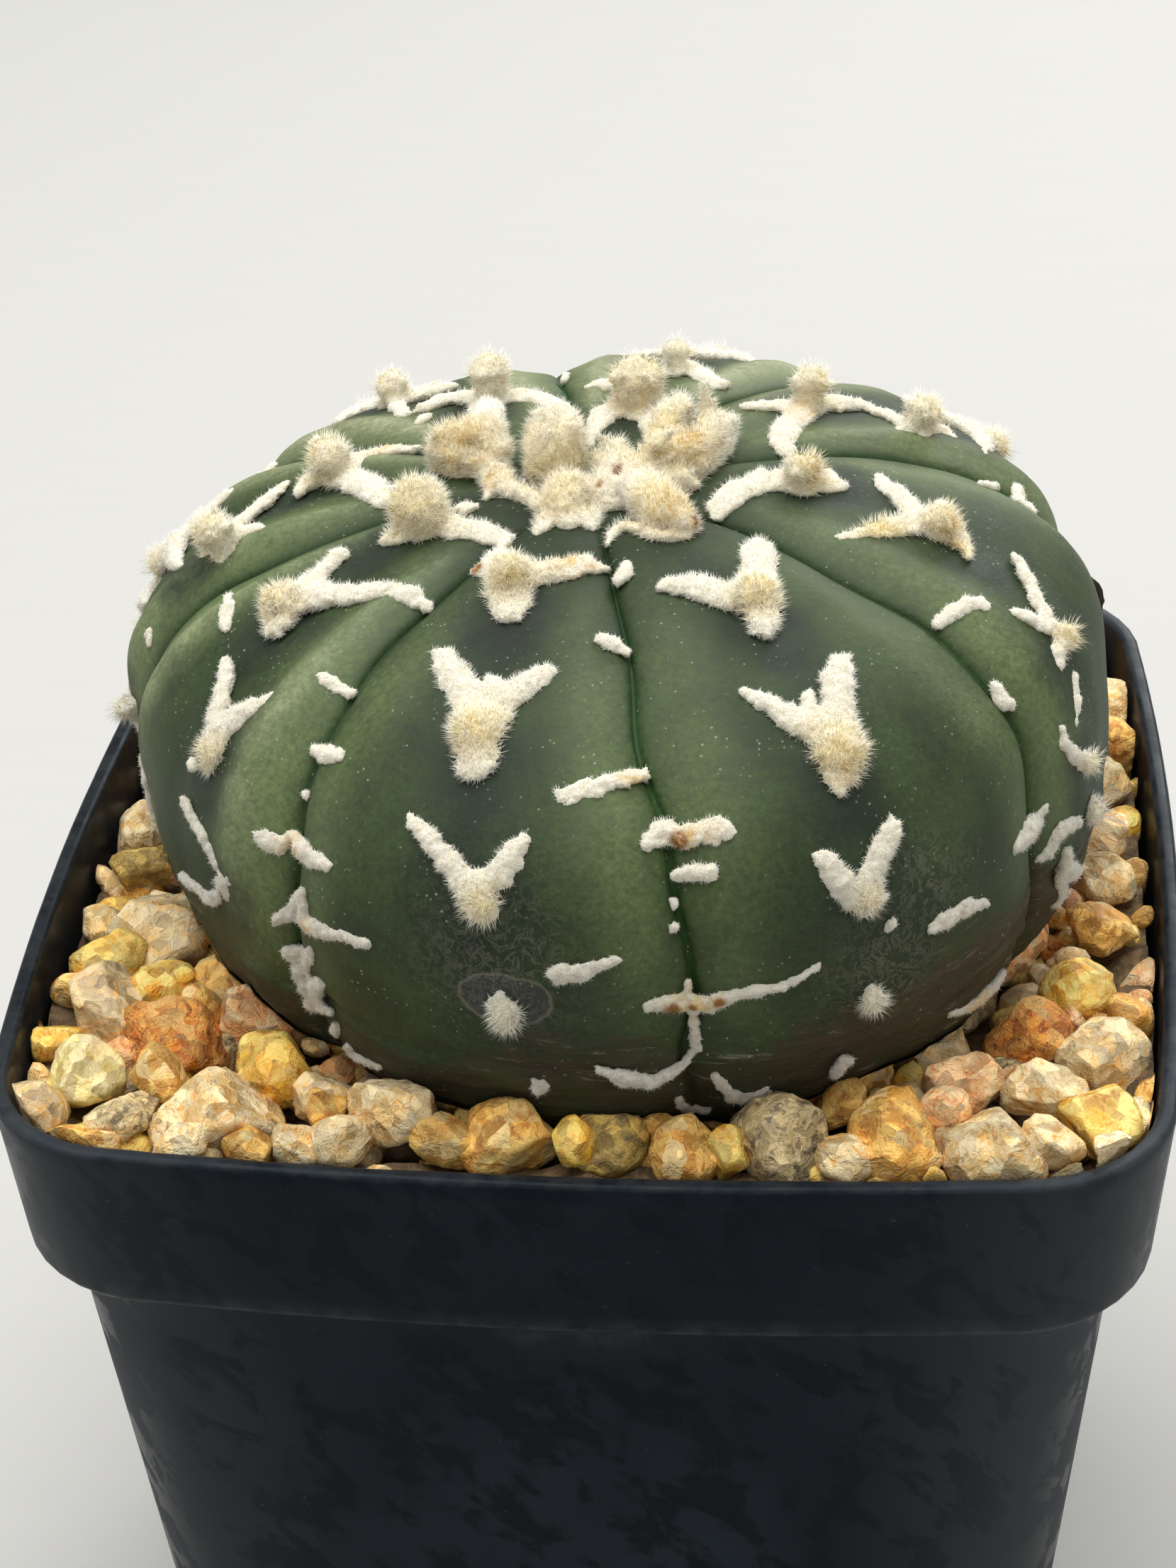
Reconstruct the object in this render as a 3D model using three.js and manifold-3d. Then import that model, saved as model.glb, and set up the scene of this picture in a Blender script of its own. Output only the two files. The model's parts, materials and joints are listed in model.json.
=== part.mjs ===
// Potted star cactus, V type: a ribbed grey-green body with white woolly flecks, in a square
// black plastic pot that is filled with soil and dressed with coarse gravel.
// Millimetres, +Z up. The origin is the centre of the pot's base, and -Y is the front.
import * as THREE from 'three';
import { mergeVertices } from 'three/addons/utils/BufferGeometryUtils.js';
import Module from 'manifold-3d';

const wasm = await Module();
wasm.setup();

// Pot: a thin tapered box with round corners and a deep rim band that steps out
const POT_HEIGHT = 72;
const RIM_HALF_WIDTH = 38;
const RIM_CORNER = 10;
const RIM_BAND_HEIGHT = 12.8;
const RIM_BAND_TAPER = 0.079;
const BAND_BOTTOM = POT_HEIGHT - RIM_BAND_HEIGHT;
const BODY_STEP = 2;
const BODY_TAPER = 0.0874;
const SIDE_BOW = 1.27;
const WALL = 1.25;
const BASE_THICKNESS = 1.6;
const BASE_ROUNDING = 1.2;
const DRAIN_HOLE_RADIUS = 3.5;
const DRAIN_HOLE_OFFSET = 15;
const DRAIN_HOLE_SIDES = 16;
const CORNER_STEPS = 4;
const SIDE_STEPS = 4;

// Space kept between pieces that rest on one another
const CLEARANCE = 0.3;

// Soil and gravel, as heights above the base
const SOIL_TOP = 62.4;
const GRAVEL_BED_TOP = 67.2;
const HEAP_FRONT_RISE = 1;
const HEAP_BACK_DROP = 3.2;
const HEAP_LEFT_DROP = 1.6;
const STONE_FREE_RADIUS = 25;
const STONE_SINK = 0.34;
const STONE_ROUGHNESS = 0.16;
const FILL_TRIES = 2600;
const STONE_ROOT = 2.4;
const STONE_ROOT_START = -0.3;
const STONE_DEPTH = 0.72;
const STONE_HEIGHT = 0.62;
const STONE_SHAPE_RANGE = 0.2;
const STONE_TILT = 0.45;
const STONE_WALL_SPACE = 1;
const FILL_SPACING = 0.4;
const FILL_SIZE_MIN = 4.8;
const FILL_SIZE_RANGE = 3;
const HEAP_COLUMN_TOP = POT_HEIGHT + 4;

// Cactus body: lengths from the pot's rim plane, angles in degrees
const BODY_RADIUS = 34.6;
const EQUATOR_RISE = 10.4;
const CROWN_RISE = 18.2;
const SHOULDER_ROUNDING = 0.95;
const DOME_FLATNESS = 0.66;
const UNDERCUT_DROP = 18;
const UNDERCUT_ROUNDING = 0.4;
const CROWN_DIMPLE = 1.3;
const DIMPLE_RADIUS = 6.5;
const GROOVE_DEPTH = 1.5;
const GROOVE_SHARPNESS = 3.6;
const OVAL = 0.047;
const OVAL_AZIMUTH = -60.5;
const THREE_LOBED = 0.017;
const THREE_LOBED_AZIMUTH = 34.4;
const BODY_OFFSET = [1.2, 0.7];
const LEAN_BACK = 1.4;
const LEAN_LEFT = -4.4;
const LIFT_FLATTENING = 0.8;

// Azimuths of the eight grooves, counter-clockwise seen from above; the front is at -90
const GROOVES = [-78, -32, 15, 57, 102, 149, 189, 236];

// Where the body's mesh has its points: across a rib from groove to groove, and from crown to base
const RIB_STATIONS = [-1, -0.84, -0.5, 0, 0.5, 0.84];
const POLAR_STATIONS = [3, 7, 12, 18, 25, 33, 41, 49, 57, 64, 71, 77, 82, 86, 90, 96, 103, 112, 123,
  136, 150, 165, 176];

// Root: radius and depth below the body's flat underside
const UNDERSIDE_DEPTH = UNDERCUT_DROP - EQUATOR_RISE;
const ROOT_SECTIONS = [
  { radius: 8.5, depth: 1.5 },
  { radius: 7, depth: 12 },
  { radius: 4.5, depth: 24 },
  { radius: 1.6, depth: 34 },
];

// V flecks: azimuth and polar angle of the woolly foot pad and of each arm's tip, pad radius
const V_FLECKS = [
  // Front rib, left of the front groove
  { foot: [-101, 28], arms: [[-124, 18], [-79, 16.5]], pad: 1.8 },
  { foot: [-98.5, 54], arms: [[-114, 34.5], [-92, 35.5]], pad: 1.5 },
  { foot: [-97, 78.5], arms: [[-106.5, 61.5], [-93, 63.5]], pad: 1.3 },
  // Front rib, right of the front groove
  { foot: [-55, 36.5], arms: [[-66, 23.5], [-33, 23.5]], pad: 1.5 },
  { foot: [-58, 65], arms: [[-64, 44], [-47, 44.5]], pad: 1.7 },
  { foot: [-60, 84], arms: [[-63.5, 71.5], [-54.5, 71.5]], pad: 1.3 },
  // Right rib
  { foot: [1, 24], arms: [[-30, 17], [-0.5, 29]], pad: 1.9 },
  { foot: [-14, 48.5], arms: [[-22, 31.5], [3.5, 34]], pad: 1.6 },
  { foot: [-18, 69], arms: [[-8, 55.5], [-20.5, 58.5]], pad: 1.4 },
  { foot: [-22.5, 87], arms: [[-26.5, 78.5]], pad: 1.3 },
  // Right back rib
  { foot: [39.5, 32], arms: [[49, 22.5], [18.5, 21.5], [32, 41]], pad: 1.8 },
  { foot: [30, 48], arms: [[38, 42], [24.5, 52]], pad: 1.6 },
  // Back rib
  { foot: [78, 20], arms: [[94, 12], [56, 14]], pad: 1.9 },
  { foot: [79, 40], arms: [[62, 30], [93, 29]], pad: 1.7 },
  // Left back rib
  { foot: [118.5, 31.5], arms: [[101, 16.5], [127, 21.5]], pad: 1.8 },
  { foot: [130, 44], arms: [[136, 33], [120, 40]], pad: 1.6 },
  // Left rib
  { foot: [160.5, 33.5], arms: [[149, 24.5], [182, 22]], pad: 1.8 },
  { foot: [174, 52], arms: [[164, 40], [171.5, 39.5]], pad: 1.6 },
  // Left front rib
  { foot: [-165, 18.5], arms: [[-119, 13.5], [-160, 12]], pad: 1.9 },
  { foot: [-146, 42.5], arms: [[-160, 29.5], [-125, 27]], pad: 1.6 },
  { foot: [-138.5, 69.5], arms: [[-149.5, 53], [-136, 52]], pad: 1.4 },
  { foot: [-135, 88.5], arms: [[-144.5, 79.5], [-132.5, 81]], pad: 1.1 },
];

// Flecks on the ribs that face away, in rows from crown to base
const BACK_ROWS = [
  { azimuth: 34, polars: [69, 87] },
  { azimuth: 79, polars: [60, 78, 93] },
  { azimuth: 127, polars: [65, 82, 96] },
  { azimuth: 168, polars: [71, 86] },
];
const BACK_ARM_SPREAD = 9;
const BACK_ARM_REACH = 15;
const BACK_PAD = 1.4;
const BACK_UNEVENNESS = 4;

// Single pads: azimuth, polar angle and radius
const PADS = [
  { at: [-96, 89.5], radius: 1.1 },
  { at: [-60.5, 96.5], radius: 1 },
  { at: [-20, 98], radius: 1 },
  { at: [-161.5, 48.5], radius: 1 },
  { at: [-179, 86], radius: 1.6 },
  { at: [-161, 88], radius: 1.5 },
];

// Slivers of wool along the grooves: azimuth and polar angle of the middle, length, width and
// turn from level
const SLIVERS = [
  { at: [-129, 45], length: 3.2, width: 1.3, turn: -10 },
  { at: [-122, 57], length: 1.9, width: 1.4, turn: 0 },
  { at: [-123.5, 77], length: 5, width: 1.6, turn: -22 },
  { at: [-117, 85.5], length: 5.6, width: 1.2, turn: -20 },
  { at: [-124, 97], length: 3.4, width: 1.6, turn: 80 },
  { at: [-80.5, 31.5], length: 1.9, width: 1, turn: -35 },
  { at: [-84, 55], length: 5.4, width: 1.6, turn: 14 },
  { at: [-75.5, 64.5], length: 6, width: 1.6, turn: 0 },
  { at: [-75, 71.5], length: 2.4, width: 1.3, turn: 0 },
  { at: [-87, 84.5], length: 4.4, width: 1.2, turn: 6 },
  { at: [-75, 89.5], length: 8.2, width: 1.1, turn: 6 },
  { at: [-82, 106], length: 5.6, width: 1, turn: 5 },
  { at: [-26, 51.5], length: 4.6, width: 1.4, turn: -20 },
  { at: [-33, 89.5], length: 3, width: 2, turn: 20 },
  { at: [-28.5, 98.5], length: 3, width: 1.8, turn: 30 },
  { at: [-49.5, 89.5], length: 4.8, width: 1.4, turn: -8 },
  { at: [15, 64], length: 4, width: 1.3, turn: 8 },
  { at: [57, 58], length: 4.6, width: 1.4, turn: -10 },
  { at: [58, 82], length: 5.2, width: 1.4, turn: 12 },
  { at: [102, 66], length: 4.4, width: 1.4, turn: 6 },
  { at: [103, 88], length: 5.4, width: 1.2, turn: -14 },
  { at: [149, 60], length: 4, width: 1.3, turn: 10 },
  { at: [150, 84], length: 5, width: 1.4, turn: -8 },
];
const WOOL_RISE = 0.85;
const PAD_DOME = 0.7;
const WOOL_ROOT = 1.6;
const TIP_NARROWING = 0.55;
const ARM_MIDDLE = 0.55;
const ARM_MIDDLE_WIDTH = 0.9;
const ARM_TO_PAD = 0.8;
const PAD_SIDES = 7;

// Crown wool: tufts round the growing point, each an oval lump
const TUFTS = [
  // Felt over the growing point, which joins the tufts round it
  { at: [-70, 4], radii: [5, 3.6, 1.7], rise: 0.3 },
  { at: [5, 9], radii: [3, 3.2, 1.6], rise: 0.4 },
  { at: [-171, 8], radii: [3.2, 1.8, 1.5], rise: 0.4 },
  // Tufts from the left, clockwise seen from above
  { at: [159, 14], radii: [3.2, 2.7, 2.3], rise: 1.1 },
  { at: [132, 5.5], radii: [2, 1.9, 2.7], rise: 1.5 },
  { at: [37, 12.5], radii: [2.4, 2.3, 2.3], rise: 1.2 },
  { at: [12, 14.5], radii: [2, 2.3, 3], rise: 1.6 },
  { at: [-47, 12.5], radii: [2.9, 2.4, 2.2], rise: 1.2 },
  { at: [-110, 5], radii: [2.6, 2.1, 1.8], rise: 0.6 },
];
const TUFT_ROUGHNESS = 0.12;

// Stones that the front view shows one by one: place and largest width. The rest of the top
// dressing is laid by a seeded rule.
const FRONT_STONES = [
  { x: -30.6, y: -9.7, size: 8.3 },
  { x: -34, y: -1.5, size: 4.5 },
  { x: -33.6, y: -13.4, size: 6 },
  { x: -32.4, y: -19.4, size: 6.6 },
  { x: -27.6, y: -22.6, size: 8 },
  { x: -24.6, y: -15.8, size: 6.2 },
  { x: -20, y: -26, size: 6.6 },
  { x: -32.6, y: -27, size: 5.8 },
  { x: -28.6, y: -32, size: 5 },
  { x: -22.6, y: -31.6, size: 8.6 },
  { x: -16.2, y: -30, size: 4.4 },
  { x: -16.6, y: -35.2, size: 4.8 },
  { x: -10.8, y: -32.6, size: 6.4 },
  { x: -3.4, y: -34.2, size: 6.8 },
  { x: 2.4, y: -34.4, size: 5.6 },
  { x: 7.6, y: -34.8, size: 5.4 },
  { x: 13.4, y: -34, size: 7.6 },
  { x: 20.6, y: -32.8, size: 7.6 },
  { x: 18.4, y: -25.6, size: 4.2 },
  { x: 26.4, y: -33.4, size: 7.4 },
  { x: 24.6, y: -27.2, size: 5 },
  { x: 29.6, y: -27.8, size: 5.4 },
  { x: 28.8, y: -21.4, size: 6 },
  { x: 33.6, y: -23.4, size: 6 },
  { x: 33, y: -30, size: 6.2 },
  { x: 32.4, y: -15.6, size: 5.4 },
  { x: 34, y: -8.2, size: 5 },
  { x: 34.2, y: -2, size: 4.8 },
  { x: 34.4, y: 4.2, size: 4.4 },
];

// Bark chip in the back right corner: radius and height of each section along it
const CHIP_PLACE = [33.4, 29.6];
const CHIP_SECTIONS = [
  { radius: 1.6, height: 64.5 },
  { radius: 1.7, height: 69.5 },
  { radius: 1.4, height: 72.5 },
  { radius: 1.8, height: 75.6 },
  { radius: 1, height: 77 },
];
const CHIP_SIDES = 7;
const CHIP_ROUGHNESS = 0.22;

const RANDOM_SEED = 20240;

// A linear congruential generator, so that every run lays the same stones
function seededRandom(seed) {
  let state = seed >>> 0;
  return () => {
    state = (Math.imul(state, 1664525) + 1013904223) >>> 0;
    return state / 4294967296;
  };
}

// Closed solids and meshes

function toSolid(geometry) {
  const bare = geometry.clone();
  bare.deleteAttribute('normal');
  bare.deleteAttribute('uv');
  const merged = mergeVertices(bare, 1e-4);
  const vertProperties = new Float32Array(merged.attributes.position.array);
  const triVerts = new Uint32Array(merged.index.array);
  return new wasm.Manifold(new wasm.Mesh({ numProp: 3, vertProperties, triVerts }));
}

function toGeometry(solid) {
  const mesh = solid.getMesh();
  const geometry = new THREE.BufferGeometry();
  geometry.setAttribute('position', new THREE.BufferAttribute(mesh.vertProperties, 3));
  geometry.setIndex(new THREE.BufferAttribute(mesh.triVerts, 1));
  geometry.computeVertexNormals();
  return geometry;
}

function joinAll(solids) {
  return solids.reduce((whole, solid) => whole.add(solid));
}

// The largest connected body of a solid, without the scraps that a cut leaves and with the
// small hollows that a join seals filled
function largestBody(solid) {
  const bodies = solid.decompose();
  return bodies.reduce((best, body) => (body.volume() > best.volume() ? body : best));
}

// A closed skin through rings of equal length, counter-clockwise seen from above, with a fan
// over the first and the last ring
function skinThroughRings(rings) {
  const count = rings[0].length;
  const points = rings.flat();
  const centre = (ring) => ring.reduce((sum, p) => sum.add(p), new THREE.Vector3()).divideScalar(count);
  const first = points.length;
  const last = first + 1;
  points.push(centre(rings[0]), centre(rings[rings.length - 1]));
  const index = [];
  for (let i = 0; i < count; i += 1) {
    const next = (i + 1) % count;
    index.push(first, next, i);
    for (let ring = 0; ring < rings.length - 1; ring += 1) {
      const low = ring * count;
      const high = low + count;
      index.push(low + i, low + next, high + next);
      index.push(low + i, high + next, high + i);
    }
    const top = (rings.length - 1) * count;
    index.push(last, top + i, top + next);
  }
  const geometry = new THREE.BufferGeometry().setFromPoints(points);
  geometry.setIndex(index);
  return geometry;
}

// Pot

// One level section of the pot: a square with round corners and slightly bowed sides
function potSection(halfWidth, corner, height) {
  const straight = halfWidth - corner;
  const ring = [];
  for (let side = 0; side < 4; side += 1) {
    const turn = side * Math.PI / 2;
    const place = (x, y) => ring.push(new THREE.Vector3(x, y, height)
      .applyAxisAngle(new THREE.Vector3(0, 0, 1), turn));
    for (let step = 1; step < SIDE_STEPS; step += 1) {
      const along = -straight + 2 * straight * step / SIDE_STEPS;
      const bow = SIDE_BOW * (1 - (along / straight) ** 2);
      place(halfWidth + bow, along);
    }
    for (let step = 0; step <= CORNER_STEPS; step += 1) {
      const angle = Math.PI / 2 * step / CORNER_STEPS;
      place(straight + corner * Math.cos(angle), straight + corner * Math.sin(angle));
    }
  }
  return ring;
}

// Half width of the outside at a height, on the rim band and on the body below it
function bandHalfWidth(height) {
  return RIM_HALF_WIDTH - RIM_BAND_TAPER * (POT_HEIGHT - height);
}

function bodyHalfWidth(height) {
  return bandHalfWidth(BAND_BOTTOM) - BODY_STEP - BODY_TAPER * (BAND_BOTTOM - height);
}

// Half width of the inside: its step lies one wall thickness higher than outside
function innerHalfWidth(height) {
  const outside = height >= BAND_BOTTOM + WALL ? bandHalfWidth(height) : bodyHalfWidth(height);
  return outside - WALL;
}

function potGeometry() {
  const outer = (halfWidth, height) => potSection(halfWidth, RIM_CORNER, height);
  const inner = (halfWidth, height) => potSection(halfWidth, RIM_CORNER - WALL, height);
  const ledge = BAND_BOTTOM + WALL;
  const shell = toSolid(skinThroughRings([
    potSection(bodyHalfWidth(0) - BASE_ROUNDING, RIM_CORNER - BASE_ROUNDING, 0),
    outer(bodyHalfWidth(BASE_ROUNDING), BASE_ROUNDING),
    outer(bodyHalfWidth(BAND_BOTTOM), BAND_BOTTOM),
    outer(bandHalfWidth(BAND_BOTTOM), BAND_BOTTOM),
    outer(bandHalfWidth(POT_HEIGHT), POT_HEIGHT),
    inner(bandHalfWidth(POT_HEIGHT) - WALL, POT_HEIGHT),
    inner(bandHalfWidth(ledge) - WALL, ledge),
    inner(bodyHalfWidth(ledge) - WALL, ledge),
    inner(bodyHalfWidth(BASE_THICKNESS) - WALL, BASE_THICKNESS),
  ]));
  const holes = [[1, 1], [-1, 1], [-1, -1], [1, -1]].map(([x, y]) => {
    const depth = 4 * BASE_THICKNESS;
    const hole = new THREE.CylinderGeometry(DRAIN_HOLE_RADIUS, DRAIN_HOLE_RADIUS, depth, DRAIN_HOLE_SIDES);
    hole.rotateX(Math.PI / 2);
    hole.translate(x * DRAIN_HOLE_OFFSET, y * DRAIN_HOLE_OFFSET, 0);
    return toSolid(hole);
  });
  return toGeometry(shell.subtract(joinAll(holes)));
}

// A column that fills the pot's inside between two heights, clear of its wall
function potFilling(bottom, top) {
  const step = BAND_BOTTOM + WALL;
  const heights = bottom < step && top > step ? [bottom, step, step + CLEARANCE, top] : [bottom, top];
  const rings = heights.map((height) => potSection(
    innerHalfWidth(Math.min(height, POT_HEIGHT) - CLEARANCE) - CLEARANCE,
    RIM_CORNER - WALL - CLEARANCE,
    height,
  ));
  return toSolid(skinThroughRings(rings));
}

// Cactus body

// Place across a rib: -1 and 1 in its grooves, 0 on its crest
function acrossRib(azimuth) {
  const start = GROOVES[0];
  const turned = ((azimuth - start) % 360 + 360) % 360 + start;
  const edges = [...GROOVES, start + 360];
  const rib = edges.findIndex((edge, i) => turned >= edge && turned <= edges[i + 1]);
  const middle = (edges[rib] + edges[rib + 1]) / 2;
  return (turned - middle) / (edges[rib + 1] - middle);
}

// Seen from above the body is a little oval and three-lobed
function outlineScale(azimuth) {
  const oval = Math.cos(2 * THREE.MathUtils.degToRad(azimuth - OVAL_AZIMUTH));
  const lobes = Math.cos(3 * THREE.MathUtils.degToRad(azimuth - THREE_LOBED_AZIMUTH));
  return 1 + OVAL * oval + THREE_LOBED * lobes;
}

// Leans a point of the upright plant and sets it on its place in the pot
function inPot(point) {
  return point
    .applyAxisAngle(new THREE.Vector3(1, 0, 0), THREE.MathUtils.degToRad(LEAN_BACK))
    .applyAxisAngle(new THREE.Vector3(0, 1, 0), THREE.MathUtils.degToRad(LEAN_LEFT))
    .add(new THREE.Vector3(BODY_OFFSET[0], BODY_OFFSET[1], POT_HEIGHT));
}

// A point of the skin, or at a height above it. Polar angle 0 is the crown, 180 the underside.
function skinPoint(azimuth, polar, height = 0) {
  const sine = Math.sin(THREE.MathUtils.degToRad(polar));
  const cosine = Math.cos(THREE.MathUtils.degToRad(polar));
  const upper = polar <= 90;
  const profile = BODY_RADIUS * sine ** (upper ? SHOULDER_ROUNDING : UNDERCUT_ROUNDING);
  const rise = upper ? CROWN_RISE * Math.max(cosine, 0) ** DOME_FLATNESS : UNDERCUT_DROP * cosine;
  const dimple = CROWN_DIMPLE * Math.exp(-((profile / DIMPLE_RADIUS) ** 2));
  const outline = profile * (1 + (outlineScale(azimuth) - 1) * profile / BODY_RADIUS);
  const groove = GROOVE_DEPTH * sine * Math.abs(acrossRib(azimuth)) ** GROOVE_SHARPNESS;
  const radius = outline + (height - groove) * sine;
  const angle = THREE.MathUtils.degToRad(azimuth);
  const z = EQUATOR_RISE + rise - dimple + (height - groove) * cosine * LIFT_FLATTENING;
  return inPot(new THREE.Vector3(radius * Math.cos(angle), radius * Math.sin(angle), z));
}

// Millimetres on the skin for one degree of azimuth and of polar angle
function skinScale([azimuth, polar]) {
  const here = skinPoint(azimuth, polar);
  return {
    perAzimuth: here.distanceTo(skinPoint(azimuth + 1, polar)),
    perPolar: here.distanceTo(skinPoint(azimuth, polar + 1)),
  };
}

// Moves over the skin by millimetres: east is counter-clockwise, north is towards the crown
function alongSkin([azimuth, polar], east, north) {
  const { perAzimuth, perPolar } = skinScale([azimuth, polar]);
  return [azimuth + east / perAzimuth, polar - north / perPolar];
}

// The whole plant without its wool, or a larger copy that clears it by a given space
function bareBody(space) {
  const azimuths = GROOVES.flatMap((groove, i) => {
    const next = i + 1 < GROOVES.length ? GROOVES[i + 1] : GROOVES[0] + 360;
    return RIB_STATIONS.map((across) => (groove + next) / 2 + across * (next - groove) / 2);
  });
  const rootRings = ROOT_SECTIONS.map(({ radius, depth }) => azimuths.map((azimuth) => {
    const angle = THREE.MathUtils.degToRad(azimuth);
    const reach = radius + space;
    const z = -UNDERSIDE_DEPTH - depth - space;
    return inPot(new THREE.Vector3(reach * Math.cos(angle), reach * Math.sin(angle), z));
  }));
  const skinRings = POLAR_STATIONS.map((polar) => azimuths.map((a) => skinPoint(a, polar, space)));
  return toSolid(skinThroughRings([...rootRings.reverse(), ...skinRings.reverse()]));
}

// A pad or arm of wool: an outline on the skin, raised above it and rooted below it
function woolPatch(outline, space, dome = 0) {
  const level = (height) => outline.map(([azimuth, polar]) => skinPoint(azimuth, polar, height));
  const geometry = skinThroughRings([level(-WOOL_ROOT), level(WOOL_RISE + space)]);
  const peak = geometry.attributes.position.count - 1;
  const middle = outline.reduce(([a, p], [azimuth, polar]) => [a + azimuth, p + polar], [0, 0]);
  const top = skinPoint(middle[0] / outline.length, middle[1] / outline.length, WOOL_RISE + dome + space);
  geometry.attributes.position.setXYZ(peak, top.x, top.y, top.z);
  return toSolid(geometry);
}

function woolPad(at, radius, space) {
  const reach = radius + space;
  const outline = Array.from({ length: PAD_SIDES }, (_, i) => {
    const angle = 2 * Math.PI * i / PAD_SIDES;
    return alongSkin(at, reach * Math.cos(angle), reach * Math.sin(angle));
  });
  return woolPatch(outline, space, PAD_DOME);
}

// An arm from the foot pad to its tip, narrowing outwards
function woolArm(foot, tip, halfWidth, space) {
  const { perAzimuth, perPolar } = skinScale(foot);
  const east = (tip[0] - foot[0]) * perAzimuth;
  const north = (foot[1] - tip[1]) * perPolar;
  const length = Math.hypot(east, north);
  const side = [-north / length, east / length];
  const station = (t, width) => {
    const at = [foot[0] + (tip[0] - foot[0]) * t, foot[1] + (tip[1] - foot[1]) * t];
    return [1, -1].map((sign) => alongSkin(at, sign * side[0] * width, sign * side[1] * width));
  };
  const [leftFoot, rightFoot] = station(0, halfWidth + space);
  const [leftMiddle, rightMiddle] = station(ARM_MIDDLE, ARM_MIDDLE_WIDTH * halfWidth + space);
  const [leftTip, rightTip] = station(1, TIP_NARROWING * halfWidth + space);
  return woolPatch([rightFoot, rightMiddle, rightTip, leftTip, leftMiddle, leftFoot], space);
}

function vFleck({ foot, arms, pad }, space) {
  const limbs = arms.map((tip) => woolArm(foot, tip, ARM_TO_PAD * pad, space));
  return joinAll([woolPad(foot, pad, space), ...limbs]);
}

// A sliver of wool: two half arms, back to back from its middle
function sliver({ at, length, width, turn }, space) {
  const angle = THREE.MathUtils.degToRad(turn);
  const ends = [-1, 1].map((sign) => {
    const reach = sign * length / 2;
    return alongSkin(at, reach * Math.cos(angle), reach * Math.sin(angle));
  });
  return joinAll(ends.map((end) => woolArm(at, end, width / 2, space)));
}

// V flecks of the ribs that face away, laid in rows with a little seeded unevenness
function backFlecks() {
  const random = seededRandom(RANDOM_SEED);
  const uneven = () => (random() - 0.5) * BACK_UNEVENNESS;
  return BACK_ROWS.flatMap(({ azimuth, polars }) => polars.map((polar) => {
    const foot = [azimuth + uneven(), polar + uneven()];
    const arms = [-1, 1].map((sign) => [
      foot[0] + sign * BACK_ARM_SPREAD + uneven(),
      foot[1] - BACK_ARM_REACH + uneven(),
    ]);
    return { foot, arms, pad: BACK_PAD };
  }));
}

function cactusSolid(space) {
  const wool = [
    ...[...V_FLECKS, ...backFlecks()].map((fleck) => vFleck(fleck, space)),
    ...PADS.map(({ at, radius }) => woolPad(at, radius, space)),
    ...SLIVERS.map((piece) => sliver(piece, space)),
  ];
  return largestBody(bareBody(space).add(joinAll(wool)));
}

// Crown wool, gravel and bark chip

// An uneven lump: an icosahedron with its points drawn in and out at random
function lump(detail, roughness, random) {
  const geometry = new THREE.IcosahedronGeometry(1, detail);
  geometry.deleteAttribute('normal');
  geometry.deleteAttribute('uv');
  const merged = mergeVertices(geometry, 1e-4);
  const position = merged.attributes.position;
  for (let i = 0; i < position.count; i += 1) {
    const point = new THREE.Vector3().fromBufferAttribute(position, i);
    point.multiplyScalar(1 + roughness * (2 * random() - 1));
    position.setXYZ(i, point.x, point.y, point.z);
  }
  return merged;
}

function crownWoolSolid(random) {
  const tufts = TUFTS.map(({ at, radii, rise }) => {
    const geometry = lump(1, TUFT_ROUGHNESS, random);
    geometry.scale(radii[0], radii[1], radii[2]);
    const centre = skinPoint(at[0], at[1], rise);
    geometry.translate(centre.x, centre.y, centre.z);
    return toSolid(geometry);
  });
  return joinAll(tufts);
}

// The heap's surface: level with the rim in front, lower along the left and the back
function heapTop(x, y) {
  const back = (y + RIM_HALF_WIDTH) / (2 * RIM_HALF_WIDTH);
  const left = THREE.MathUtils.clamp(-x / RIM_HALF_WIDTH, 0, 1);
  return POT_HEIGHT + HEAP_FRONT_RISE - HEAP_BACK_DROP * back - HEAP_LEFT_DROP * left;
}

// Front stones as listed, then as many more as find room
function stonePlaces(random) {
  const places = FRONT_STONES.map((stone) => ({ ...stone }));
  const reach = RIM_HALF_WIDTH - WALL - STONE_WALL_SPACE;
  for (let attempt = 0; attempt < FILL_TRIES; attempt += 1) {
    const x = (2 * random() - 1) * reach;
    const y = (2 * random() - 1) * reach;
    const size = FILL_SIZE_MIN + FILL_SIZE_RANGE * random();
    const underBody = Math.hypot(x - BODY_OFFSET[0], y - BODY_OFFSET[1]) < STONE_FREE_RADIUS;
    const crowded = places.some((other) => (
      Math.hypot(x - other.x, y - other.y) < FILL_SPACING * (size + other.size)
    ));
    if (!underBody && !crowded) {
      places.push({ x, y, size });
    }
  }
  return places;
}

// A stone, with its hidden underside drawn down into the bed
function stoneSolid({ x, y, size }, random) {
  const geometry = lump(0, STONE_ROUGHNESS, random);
  const position = geometry.attributes.position;
  for (let i = 0; i < position.count; i += 1) {
    const stretch = position.getZ(i) < STONE_ROOT_START ? STONE_ROOT : 1;
    position.setZ(i, stretch * position.getZ(i));
  }
  const depth = STONE_DEPTH + STONE_SHAPE_RANGE * random();
  const height = STONE_HEIGHT + STONE_SHAPE_RANGE * random();
  geometry.scale(size / 2, depth * size / 2, height * size / 2);
  geometry.rotateX(STONE_TILT * (2 * random() - 1));
  geometry.rotateZ(Math.PI * random());
  geometry.translate(x, y, heapTop(x, y) - STONE_SINK * size);
  return toSolid(geometry);
}

function gravelSolid(random) {
  const bed = potFilling(SOIL_TOP + CLEARANCE, GRAVEL_BED_TOP);
  const stones = stonePlaces(random).map((place) => stoneSolid(place, random));
  const column = potFilling(SOIL_TOP + CLEARANCE, HEAP_COLUMN_TOP);
  return bed.add(joinAll(stones)).intersect(column);
}

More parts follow.
